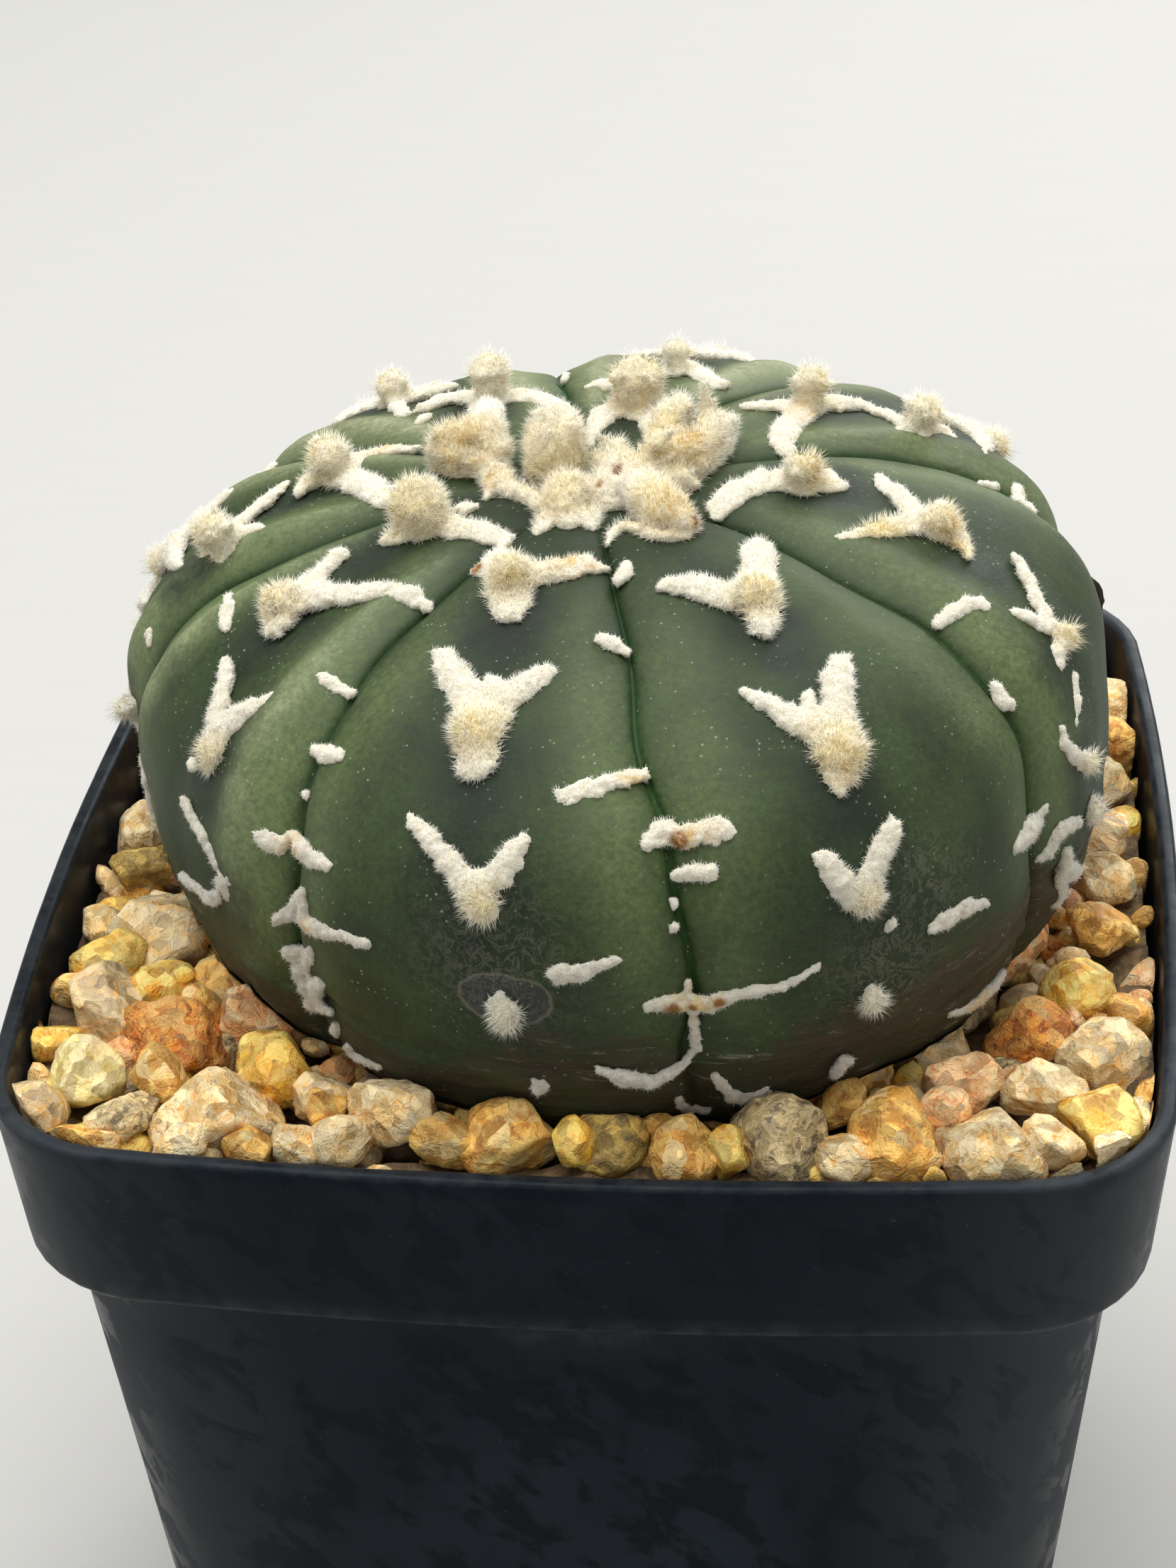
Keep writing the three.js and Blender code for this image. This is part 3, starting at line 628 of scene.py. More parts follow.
@dataclass(frozen=True)
class PlasticFinish:
    """Satin black moulded plastic with slanted blotches and dust, a painted reflection on the corners and a
    painted highlight along the band's lower lip.
    """

    black: Colour = (0.0036, 0.0054, 0.0084)
    film: Colour = (0.0150, 0.0200, 0.0258)
    # Painted reflection that lightens the pot's corners.
    painted_corner_reflection: Colour = (0.030, 0.034, 0.038)
    dust: Colour = (0.078, 0.079, 0.076)
    sheen: Colour = (0.62, 0.84, 1.0)
    soiled: Colour = (0.050, 0.034, 0.020)
    drop_lean: float = 52.0
    drop_stretch: Spot = (1.9, 1.0, 1.1)

    def material(self) -> Material:
        """Builds the material.

        Returns:
            The material.
        """
        s = NodeSheet("pot_plastic")
        lean = s.stretched(self.drop_stretch, (0.0, math.radians(self.drop_lean), 0.0), "TEXTURE")
        drops = s.ramp(s.noise(2.6, 5.0, 0.56, 0.3, lean), 0.42, 0.52)
        film = s.times(drops, s.ramp(s.value_of("band"), 0.0, 1.0, 1.0, 0.45))
        wide = s.ramp(s.noise(22.0, 3.0, 0.5), 0.3, 0.7, 0.35, 1.0)
        colour = s.blend(self.black, self.film, s.times(film, wide))
        # Painted reflection on the corners, broken up by the blotches.
        colour = s.blend(colour, self.painted_corner_reflection, s.broken("corner", film, 0.0, 1.0, 0.5))
        grains = s.ramp(s.noise(0.42, 3.0, 0.6), 0.66, 0.78, 0.0, 0.8)
        colour = s.blend(colour, self.dust, s.times(grains, s.ramp(s.noise(7.0, 4.0), 0.45, 0.7, 0.1)))
        # Dust on the rim and at the foot, and a painted highlight along the band's lower lip.
        colour = s.blend(colour, self.dust, s.broken("edge", s.noise(2.4, 5.0, 0.7), 0.35, 0.7, 0.1, 0.7))
        colour = s.blend(colour, self.soiled, s.broken("inside", s.noise(3.0, 6.0, 0.7), 0.42, 0.66))
        rough = s.ramp(film, 0.0, 1.0, 0.32, 0.58)
        s.set(Base_Color=colour, Roughness=rough, Specular_IOR_Level=0.08, Specular_Tint=self.sheen)
        s.relief(s.noise(0.35, 3.0, 0.6), 0.012, 0.5)
        s.relief(s.noise(6.0, 3.0, 0.5), 0.10, 0.35)
        return s.material


@dataclass(frozen=True)
class EarthFinish:
    """Dark crumbly potting mix or weathered bark."""

    name: str
    dark: Colour
    pale: Colour
    grain: float

    def material(self) -> Material:
        """Builds the material.

        Returns:
            The material.
        """
        s = NodeSheet(self.name)
        crumbs = s.noise(self.grain, 6.0, 0.7, 0.5)
        colour = s.blend(self.dark, self.pale, s.ramp(crumbs, 0.35, 0.75))
        flakes = s.ramp(s.noise(self.grain * 0.4, 4.0, 0.7), 0.62, 0.75, 0.0, 0.5)
        colour = s.blend(colour, tuple(1.8 * c for c in self.pale), flakes)
        s.set(Base_Color=colour, Roughness=s.ramp(crumbs, 0.2, 0.8, 0.8, 1.0), Specular_IOR_Level=0.2)
        s.relief(crumbs, 0.5 * self.grain, 0.9)
        s.relief(s.noise(0.3 * self.grain, 5.0, 0.7), 0.15 * self.grain, 0.8)
        return s.material


# The plant's skin


@dataclass(frozen=True)
class SkinForm:
    """Form of the skin. Polar angle 0 is the crown and 180 the underside; the front is at azimuth -90."""

    radius: float = 34.6
    equator_rise: float = 10.4
    crown_rise: float = 18.2
    shoulder_rounding: float = 0.95
    dome_flatness: float = 0.66
    undercut_drop: float = 18.0
    undercut_rounding: float = 0.4
    crown_dimple: float = 1.3
    dimple_radius: float = 6.5
    groove_depth: float = 1.5
    groove_sharpness: float = 3.6
    oval: float = 0.047
    oval_azimuth: float = -60.5
    three_lobed: float = 0.017
    three_lobed_azimuth: float = 34.4
    offset: Spot = (1.2, 0.7, 72.0)
    lean_back: float = 1.4
    lean_left: float = -4.4
    lift_flattening: float = 0.8
    grooves: tuple[float, ...] = (-78, -32, 15, 57, 102, 149, 189, 236)

    @property
    def edges(self) -> Array:
        """Azimuths of the grooves, with the first again at the end."""
        return np.array([*self.grooves, self.grooves[0] + 360.0])

    def across(self, azimuth: Array) -> tuple[Array, Array]:
        """Finds the rib at some azimuths.

        Args:
            azimuth: Azimuths in degrees.

        Returns:
            The place across the rib, -1 and 1 in its grooves, and the number of the rib.
        """
        edges = self.edges
        turned = (azimuth - edges[0]) % 360.0 + edges[0]
        rib = np.clip(np.searchsorted(edges, turned, side="right") - 1, 0, len(edges) - 2)
        middle = (edges[rib] + edges[rib + 1]) / 2
        return (turned - middle) / (edges[rib + 1] - middle), rib

    def in_pot(self, points: Array) -> Array:
        """Leans the upright plant and sets it in the pot.

        Args:
            points: Rows of three coordinates, in millimetres.

        Returns:
            The same points in metres, in their place.
        """
        lean = Matrix.Rotation(math.radians(self.lean_left), 3, "Y") @ Matrix.Rotation(
            math.radians(self.lean_back), 3, "X")
        return (points @ np.array(lean).T + np.array(self.offset)) * MM

    def place(self, azimuth: object, polar: object, height: object = 0.0,
              swing: object = 0.0) -> Array:
        """Returns points on the skin or above it.

        Args:
            azimuth: Azimuth in degrees.
            polar: Polar angle in degrees.
            height: Height above the skin, in millimetres.
            swing: Extra turn that carries the grooves with it, in degrees.

        Returns:
            Rows of three coordinates, in metres.
        """
        azimuth, polar, height, swing = np.broadcast_arrays(
            *(np.asarray(v, float) for v in (azimuth, polar, height, swing)))
        sine = np.clip(np.sin(np.radians(polar)), 0.0, 1.0)
        cosine = np.cos(np.radians(polar))
        upper = polar <= 90.0
        profile = self.radius * np.where(upper, sine ** self.shoulder_rounding,
                                         sine ** self.undercut_rounding)
        rise = np.where(upper, self.crown_rise * np.maximum(cosine, 0.0) ** self.dome_flatness,
                        self.undercut_drop * cosine)
        dimple = self.crown_dimple * np.exp(-((profile / self.dimple_radius) ** 2))
        scale = (self.oval * np.cos(2 * np.radians(azimuth - self.oval_azimuth))
                 + self.three_lobed * np.cos(3 * np.radians(azimuth - self.three_lobed_azimuth)))
        outline = profile * (1 + scale * profile / self.radius)
        groove = self.groove_depth * sine * np.abs(self.across(azimuth)[0]) ** self.groove_sharpness
        reach = outline + (height - groove) * sine
        angle = np.radians(azimuth + swing)
        z = self.equator_rise + rise - dimple + (height - groove) * cosine * self.lift_flattening
        return self.in_pot(np.stack([reach * np.cos(angle), reach * np.sin(angle), z], axis=-1))

    def axes_at(self, azimuth: object, polar: object) -> tuple[Array, Array, Array]:
        """Finds the directions of the skin.

        Args:
            azimuth: Azimuth in degrees, one or more.
            polar: Polar angle in degrees, one or more.

        Returns:
            The unit directions east, towards the crown and outwards.
        """
        azimuth, polar = np.asarray(azimuth, float), np.asarray(polar, float)
        east = unit(self.place(azimuth + 0.5, polar) - self.place(azimuth - 0.5, polar))
        north = unit(self.place(azimuth, polar - 0.5) - self.place(azimuth, polar + 0.5))
        out = unit(np.cross(east, north))
        return east, np.cross(out, east), out

    def moved(self, at: object, east: object, north: object) -> Array:
        """Moves places over the skin.

        Args:
            at: Azimuth and polar angle of each place.
            east: Millimetres that it moves counter-clockwise.
            north: Millimetres that it moves towards the crown.

        Returns:
            The new azimuths and polar angles.
        """
        at, east, north = np.asarray(at, float), np.asarray(east, float), np.asarray(north, float)
        here = self.place(at[..., 0], at[..., 1])
        side, up, _ = self.axes_at(at[..., 0], at[..., 1])
        spot = at + np.zeros((*np.broadcast_shapes(at.shape[:-1], east.shape, north.shape), 2))
        for _ in range(4):
            azimuth, polar = spot[..., 0], spot[..., 1]
            gone = (self.place(azimuth, polar) - here) / MM
            widths = []
            for turn, drop in ((0.25, 0.0), (0.0, 0.25)):
                step = self.place(azimuth + turn, polar + drop) - self.place(azimuth - turn, polar - drop)
                widths.append(np.linalg.norm(step, axis=-1) / (0.5 * MM))
            left = np.stack([east - (gone * side).sum(axis=-1), (gone * up).sum(axis=-1) - north], axis=-1)
            spot = spot + 0.9 * left / np.maximum(np.stack(widths, axis=-1), 0.1)
        return spot


SKIN = SkinForm()

Bead = tuple[float, float, float]
Limb = tuple[Bead, ...]
Lump = tuple[float, float, float, float]


@dataclass(frozen=True)
class Fleck:
    """A woolly fleck: limbs of felt and a fluffy dome.

    Attributes:
        limbs: For each limb the azimuth, polar angle and half width of its beads, from the foot on.
        dome: Azimuth, polar angle and radius of the dome, or nothing.
        rise: Height of a round dome's middle above the skin, 0 for a low pillow.
    """

    limbs: tuple[Limb, ...]
    dome: Optional[Bead] = None
    rise: float = 0.0

    @property
    def foot(self) -> Place:
        """Azimuth and polar angle of the foot."""
        return self.limbs[0][0][:2]

    @property
    def pad(self) -> float:
        """Radius of the foot."""
        return self.limbs[0][0][2]


V_FLECKS: tuple[Fleck, ...] = tuple(Fleck(*row) for row in (
    ((((-102.5, 26, 1.05), (-105, 23, 1.5), (-107.5, 20, 1.45)), ((-112, 19.5, 1.1), (-118, 17.5, 0.6)),
     ((-115.5, 19.5, 0.65), (-119.5, 20, 0.35)), ((-102.5, 19.5, 1), (-94, 18.5, 0.8), (-86.5, 17.5, 0.65),
     (-80, 18, 0.25))), (-105.5, 21.5, 1.4), 0.9),
    ((((-99.5, 51.5, 1.2), (-100, 47.5, 1.5), (-100.5, 43.5, 1.9)), ((-103, 42, 1.1), (-107, 38, 0.9),
     (-112, 35, 0.65)), ((-98, 40.5, 1.15), (-95, 38, 0.9), (-92, 36, 0.55)), ((-100, 40.5, 1.1),
     (-100.5, 38, 0.55))), (-100.5, 46, 1.5)),
    ((((-97, 75, 1.4), (-97.5, 72, 1.35)), ((-99, 71, 0.85), (-101.5, 67.5, 0.7), (-104, 64, 0.55),
     (-106.5, 62, 0.35)), ((-95.5, 69.5, 0.9), (-94, 66, 0.9), (-93, 63.5, 0.6)), ((-97.5, 69.5, 0.5),)),
     (-97, 74, 1.1)),
    ((((-95.7, 89.8, 1), (-95.8, 89.2, 0.9), (-96, 88.1, 0.45)),), (-95.7, 89.6, 1)),
    ((((-54, 35.5, 0.8), (-51, 31.5, 1.2), (-48, 29, 1.2), (-42.5, 26.5, 1.15), (-38.5, 24.5, 0.75)),
     ((-54.5, 29.5, 1), (-57, 27.5, 0.85), (-60.5, 25, 0.7), (-66, 24, 0.35))), (-51, 31, 1.35), 0.5),
    ((((-58.5, 63, 0.65), (-57.5, 60.5, 1.2), (-56.5, 57.5, 1.8)), ((-57.5, 53.5, 1.1), (-59.5, 50.5, 0.9),
     (-61.5, 46.5, 0.65), (-63.5, 44, 0.25)), ((-55, 54.5, 1.2), (-53, 51, 1.05), (-51, 48, 1.05),
     (-48, 45.5, 0.65)), ((-57, 51, 0.7), (-56, 48, 0.35))), (-56.5, 58, 1.65)),
    ((((-59.5, 82.5, 1), (-60.5, 81, 0.95), (-62, 78, 0.85), (-62.5, 74.5, 0.75), (-63, 73, 0.45)),
     ((-59, 80.5, 0.95), (-58, 78, 0.85), (-56.5, 75.5, 0.8), (-55, 74, 0.75), (-54.5, 72.5, 0.45)),
     ((-58, 82.5, 0.45),)), (-59.5, 82, 0.85)),
    ((((-60, 97.5, 0.85), (-60, 96, 0.7)),), (-60, 97, 0.85)),
    ((((-3, 23.5, 1.25), (-5.5, 22.5, 1.1), (-4.5, 20, 0.9), (-6.5, 18.5, 0.8)), ((-3.5, 21, 0.95),
     (-7, 19, 0.9), (-14.5, 16.5, 0.85), (-25, 16, 0.65), (-31.5, 16.5, 0.25)), ((2.5, 24, 0.7),
     (6.5, 24, 0.35)), ((-4, 26.5, 0.6), (-3.5, 28.5, 0.35)), ((1.5, 26.5, 0.25), (-0.5, 27.5, 0.2))),
     (-7, 23.5, 1.2), 1.5),
    ((((-14.5, 48, 0.25), (-12.5, 47, 0.45), (-11, 45.5, 0.8), (-8.5, 42.5, 1.25), (-11, 39.5, 0.9),
     (-13, 37.5, 0.8)), ((-13, 37.5, 0.75), (-16.5, 35.5, 0.6), (-19, 33.5, 0.5), (-22.5, 32, 0.3),
     (-23.5, 31, 0.2)), ((-8, 38.5, 0.75), (-4.5, 36.5, 0.7), (-1.5, 35, 0.65), (0, 33.5, 0.5),
     (3.5, 33.5, 0.2)), ((-3.5, 42, 0.55), (-2.5, 42, 0.25))), (-10.5, 42, 1.2), 0.7),
    ((((-21, 71, 0.35), (-19, 69.5, 0.75), (-17, 68.5, 0.9)), ((-17, 66, 0.65), (-14.5, 61, 0.6),
     (-10.5, 57, 0.45), (-8.5, 55, 0.25)), ((-18, 65, 0.6), (-19, 61, 0.55), (-20, 58.5, 0.25))),
     (-17, 68.5, 0.9), 0.5),
    ((((-22.5, 87.5, 0.7), (-24.5, 85, 0.6), (-26, 82, 0.45), (-25.5, 80, 0.25)),), (-22.5, 87.5, 0.75),
     0.5),
    ((((39.5, 31.5, 1.35), (35, 28, 1), (29, 24.5, 0.85), (22, 22.5, 0.7), (15.5, 22.5, 0.4)),
     ((40.5, 28, 0.5), (42.5, 26, 0.4), (45.5, 24, 0.35), (47.5, 23.5, 0.2)), ((38, 35, 1.05),
     (37, 37.5, 0.65))), (37, 30, 1.4), 2),
    ((((27.5, 50, 0.7), (27, 45.5, 1.15), (27.5, 42.5, 0.7), (30, 41.5, 0.5), (33.5, 40, 0.45),
     (37.5, 39.5, 0.4)), ((24.5, 40.5, 0.45), (24, 43, 0.5)), ((24.5, 50.5, 0.3), (26.5, 49.5, 0.65))),
     (25.5, 43.5, 1.25), 1.5),
    ((((75.5, 15.5, 0.95), (80, 20.5, 1.65)), ((86, 16, 0.8), (90.5, 12.5, 0.55), (93.5, 8.5, 0.2)),
     ((64.5, 13.5, 0.85), (51, 11, 0.7), (37.5, 9.5, 0.45)), ((88.5, 23.5, 0.55), (92, 25.5, 0.35),
     (95.5, 25, 0.2))), (76, 17, 1.85), 2.2),
    ((((77.5, 35, 0.65), (74.5, 34.5, 0.55), (69, 30.5, 0.65), (63.5, 28.5, 0.4), (62, 30, 0.2)),),
     (76, 31, 1.05), 1.6),
    ((((125.5, 23, 0.8), (121, 27.5, 1.15)), ((122.5, 30, 0.75), (124, 33, 0.6), (128, 33.5, 0.55),
     (131.5, 33, 0.5)), ((117.5, 26, 0.85), (113.5, 25, 0.7), (109.5, 23, 0.65), (105.5, 20, 0.55),
     (102.5, 17.5, 0.35), (100.5, 14.5, 0.2))), (120, 25.5, 1.5), 2.4),
    ((((130, 44, 1.2), (126, 42, 0.8), (121, 40, 0.5)), ((132, 40, 0.7), (135.5, 34, 0.4))), (130, 43, 1.3),
     1.3),
    ((((169, 36, 0.25), (166.5, 35.5, 0.6), (161.5, 33.5, 1.35), (164.5, 30, 0.95), (171, 26, 1),
     (176.5, 23.5, 0.85), (183, 22.5, 0.35)), ((158, 32.5, 0.9), (157.5, 30, 0.7), (155, 29, 0.6),
     (151, 27.5, 0.45), (148.5, 24.5, 0.2))), (164.5, 31, 1.45), 1.6),
    ((((180.5, 51.5, 0.35), (177.5, 49, 1), (177.5, 45.5, 0.95), (178.5, 42, 0.7), (179.5, 40, 0.2)),
     ((174.5, 46.5, 0.7), (172.5, 44, 0.6), (169.5, 42, 0.55), (166.5, 40.5, 0.4), (163.5, 39.5, 0.2))),
     (180, 46.5, 1.45), 1.6),
    ((((-179, 83.5, 0.35), (-178, 85.5, 0.7), (-177, 88, 0.75), (-175, 88.5, 0.55), (-173, 90, 0.25)),),
     (-176.5, 86, 0.9), 0.8),
    ((((-163.5, 82.5, 0.25), (-162.5, 85.5, 0.45), (-161.5, 87, 0.4), (-161.5, 88.5, 0.45),
     (-161, 92, 0.25)),),),
    ((((-155, 23.5, 0.35), (-155.5, 21.5, 0.8), (-158.5, 19, 1.65), (-152.5, 16.5, 1.05)), ((-156, 17, 1.1),
     (-146, 16, 0.8), (-140.5, 14.5, 0.7), (-130, 14, 0.65), (-123.5, 13.5, 0.5), (-119.5, 15.5, 0.2)),
     ((-159.5, 13.5, 0.45), (-159.5, 12.5, 0.35))), (-155, 18.5, 1.9), 1.8),
    ((((-147.5, 43, 0.85), (-150, 40, 1.35), (-151, 36, 1.15)), ((-152, 36.5, 1), (-154.5, 33, 0.65),
     (-158, 29.5, 0.5)), ((-150, 36.5, 1), (-142.5, 32.5, 0.7), (-136.5, 29, 0.6), (-130, 27.5, 0.55),
     (-124.5, 28, 0.25))), (-151, 40, 1.3), 0.5),
    ((((-140, 68, 0.95), (-141, 63.5, 1.15)), ((-141.5, 63, 0.95), (-143.5, 60, 0.85), (-146, 56, 0.7),
     (-149, 53, 0.45)), ((-140.5, 62.5, 1), (-139, 57.5, 0.85), (-137, 54, 0.6), (-136, 52, 0.35))),
     (-140, 66.5, 0.95)),
    ((((-135, 88, 0.95), (-132, 84, 0.55), (-132, 80.5, 0.35)), ((-135.5, 85, 0.45), (-139, 82, 0.45),
     (-144, 79.5, 0.35)), ((-137, 89.5, 0.45), (-143, 91, 0.35), (-149, 94, 0.25))),),
    ((((-20, 98, 0.9),),), (-20, 98, 0.8)),
))

SLIVERS: tuple[Fleck, ...] = tuple(Fleck((limb,)) for limb in (
    ((-156.5, 49.5, 0.3), (-161, 48, 0.75), (-165.5, 47.5, 0.35)),
    ((-132.5, 47.5, 0.3), (-131, 45, 0.5), (-128, 45, 0.45), (-125, 45.5, 0.3)),
    ((-125, 57, 0.35), (-122, 56.5, 0.65), (-119.5, 55.5, 0.35)),
    ((-123.5, 65, 0.25), (-123, 65.5, 0.2)),
    ((-144, 71.5, 0.3), (-143, 72, 0.25)),
    ((-133.5, 71, 0.2), (-133, 73, 0.2)),
    ((-128.5, 76.5, 0.55), (-126, 76.5, 0.7), (-123.5, 73.5, 0.35), (-122, 75, 0.65), (-118, 74.5, 0.5),
     (-116, 74.5, 0.3)),
    ((-127, 89, 0.35), (-124, 87.5, 0.55), (-121, 82, 0.2), (-121, 87, 0.65), (-117.5, 86, 0.55),
     (-113.5, 85, 0.4), (-110.5, 85, 0.3)),
    ((-126, 94, 0.5), (-120.5, 89.5, 0.2), (-125, 98, 0.55), (-125, 103.5, 0.6), (-120, 95.5, 0.25),
     (-125, 108.5, 0.7), (-120, 104, 0.25)),
    ((-120, 109, 0.35), (-122, 115, 0.25)),
    ((-118.5, 113, 0.2), (-119.5, 117, 0.45), (-114, 114.5, 0.3)),
    ((-82.5, 30.5, 0.25), (-80.5, 31.5, 0.45), (-78, 33, 0.2)),
    ((-72.5, 18.5, 0.2), (-74.5, 20, 0.35), (-76, 21, 0.2)),
    ((-88, 56, 0.75), (-85.5, 55, 0.65), (-82.5, 54, 0.5), (-79, 53.5, 0.4)),
    ((-80, 65.5, 0.4), (-78, 63.5, 0.7), (-76, 65, 0.65), (-74, 64.5, 0.8), (-71.5, 64.5, 0.75),
     (-71, 65, 0.25)),
    ((-77.3, 71.5, 0.3), (-76, 71.4, 0.5), (-74.7, 71.3, 0.65), (-73.7, 71.3, 0.4)),
    ((-90, 85, 0.55), (-88, 85, 0.55), (-86, 84, 0.35), (-84, 83.5, 0.2)),
    ((-82, 89.7, 0.2), (-80.7, 89.7, 0.45), (-79.3, 89.9, 0.55), (-76.3, 90.1, 0.6), (-74.7, 89.9, 0.5),
     (-73.3, 89.7, 0.4), (-69.7, 89.5, 0.3), (-68.3, 89.5, 0.22), (-65, 88.6, 0.1)),
    ((-77.7, 89.8, 0.3), (-77.7, 88.6, 0.1)),
    ((-77.5, 92.5, 0.15), (-77.5, 95.5, 0.3), (-77.5, 99.5, 0.35), (-77.5, 102.5, 0.2), (-79, 106, 0.2),
     (-81, 108, 0.35), (-82.5, 109, 0.5), (-84, 107, 0.6), (-85.5, 105.5, 0.45), (-87.5, 102, 0.1)),
    ((-93.7, 107.6, 0.6), (-93.7, 106.8, 0.5)),
    ((-78, 75.5, 0.15), (-78, 76.5, 0.1)),
    ((-78.3, 80.3, 0.2), (-78.3, 81, 0.1)),
    ((-80, 117.5, 0.2), (-80, 121, 0.25), (-79, 125, 0.3), (-77, 127, 0.3)),
    ((-76, 110.5, 0.2), (-75, 115, 0.3), (-74, 119.5, 0.55), (-72.5, 119.5, 0.65), (-71, 117.5, 0.5)),
    ((-63.5, 117, 0.45), (-62.5, 113.5, 0.5)),
    ((-52.5, 89.5, 0.35), (-51, 89.5, 0.55), (-48, 89.5, 0.55), (-45, 90, 0.25)),
    ((-49, 115, 0.35), (-45, 118.5, 0.6), (-40, 121, 0.45), (-38, 121, 0.25)),
    ((-26, 116, 0.45), (-25, 114, 0.7), (-27, 108, 0.25)),
    ((-57, 87, 0.3), (-57.5, 87.5, 0.2)),
    ((-30.5, 50.5, 0.25), (-27.5, 50.5, 0.5), (-24, 51.5, 0.5), (-22.5, 53, 0.6), (-22.5, 55, 0.2)),
    ((-31, 66, 0.45), (-31.5, 68, 0.45), (-30.5, 69.5, 0.3)),
    ((-19, 75, 0.2), (-21, 78, 0.4), (-23, 81, 0.25)),
    ((-39, 88, 0.45), (-35.5, 88.5, 0.75), (-31.5, 89.5, 0.5), (-30.5, 88.5, 0.35)),
    ((-31.5, 97, 0.35), (-30, 96.5, 0.55), (-28.5, 93, 0.65), (-24.5, 95, 0.45)),
    ((-26.5, 101, 0.55), (-26, 107, 0.85), (-21, 113, 0.45)),
    ((144, 50, 0.2), (143, 48.5, 0.2)),
    ((138.5, 29, 0.2), (136, 29, 0.35), (134.5, 29.5, 0.2)),
    ((11, 51, 0.2), (12.5, 54, 0.25), (15.5, 58, 0.2)),
    ((101, 33, 0.2), (100, 37, 0.2)),
    ((-176, 69, 0.4), (-174.5, 70.5, 0.25)),
    ((12, 64, 0.4), (15, 64, 0.7), (18, 63, 0.4)),
    ((54, 58, 0.4), (57, 58, 0.75), (60, 59, 0.4)),
    ((54.5, 83, 0.4), (58, 82, 0.7), (61.5, 81, 0.5)),
    ((99, 66, 0.4), (102, 66, 0.7), (105, 65.5, 0.4)),
    ((99.5, 88, 0.4), (103, 88, 0.6), (107, 87, 0.4)),
    ((146, 60, 0.4), (149, 60, 0.65), (151, 59, 0.4)),
    ((147, 84, 0.4), (150, 84, 0.7), (153, 83, 0.4)),
))

BACK_ROWS: tuple[tuple[float, tuple[float, ...]], ...] = (
    (34, (69, 87)),
    (79, (60, 78, 93)),
    (127, (65, 82, 96)),
    (168, (71, 86)),
)


def back_flecks() -> list[Fleck]:
    """Lays the flecks of the ribs that face away, in rows with a little unevenness.

    Returns:
        The flecks, each with two arms.
    """
    stream = NumberStream(SEED)

    def uneven() -> float:
        """Returns a small shift in degrees."""
        return (stream.take() - 0.5) * 4.0

    flecks = []
    for azimuth, polars in BACK_ROWS:
        for polar in polars:
            foot = (azimuth + uneven(), polar + uneven())
            tips = [(foot[0] + sign * 9 + uneven(), foot[1] - 13 + uneven()) for sign in (-1, 1)]
            fork = tuple(0.6 * f + 0.2 * (a + b) for f, a, b in zip(foot, *tips))
            limbs = [((*foot, 1.15), (*fork, 1.45))]
            for tip in tips:
                middle = tuple(0.5 * f + 0.5 * e for f, e in zip(fork, tip))
                limbs.append(((*fork, 1.1), (*middle, 1.0 - 0.55 * 0.5), (*tip, 1.0 - 0.55)))
            flecks.append(Fleck(tuple(limbs), (*foot, 1.1)))
    return flecks


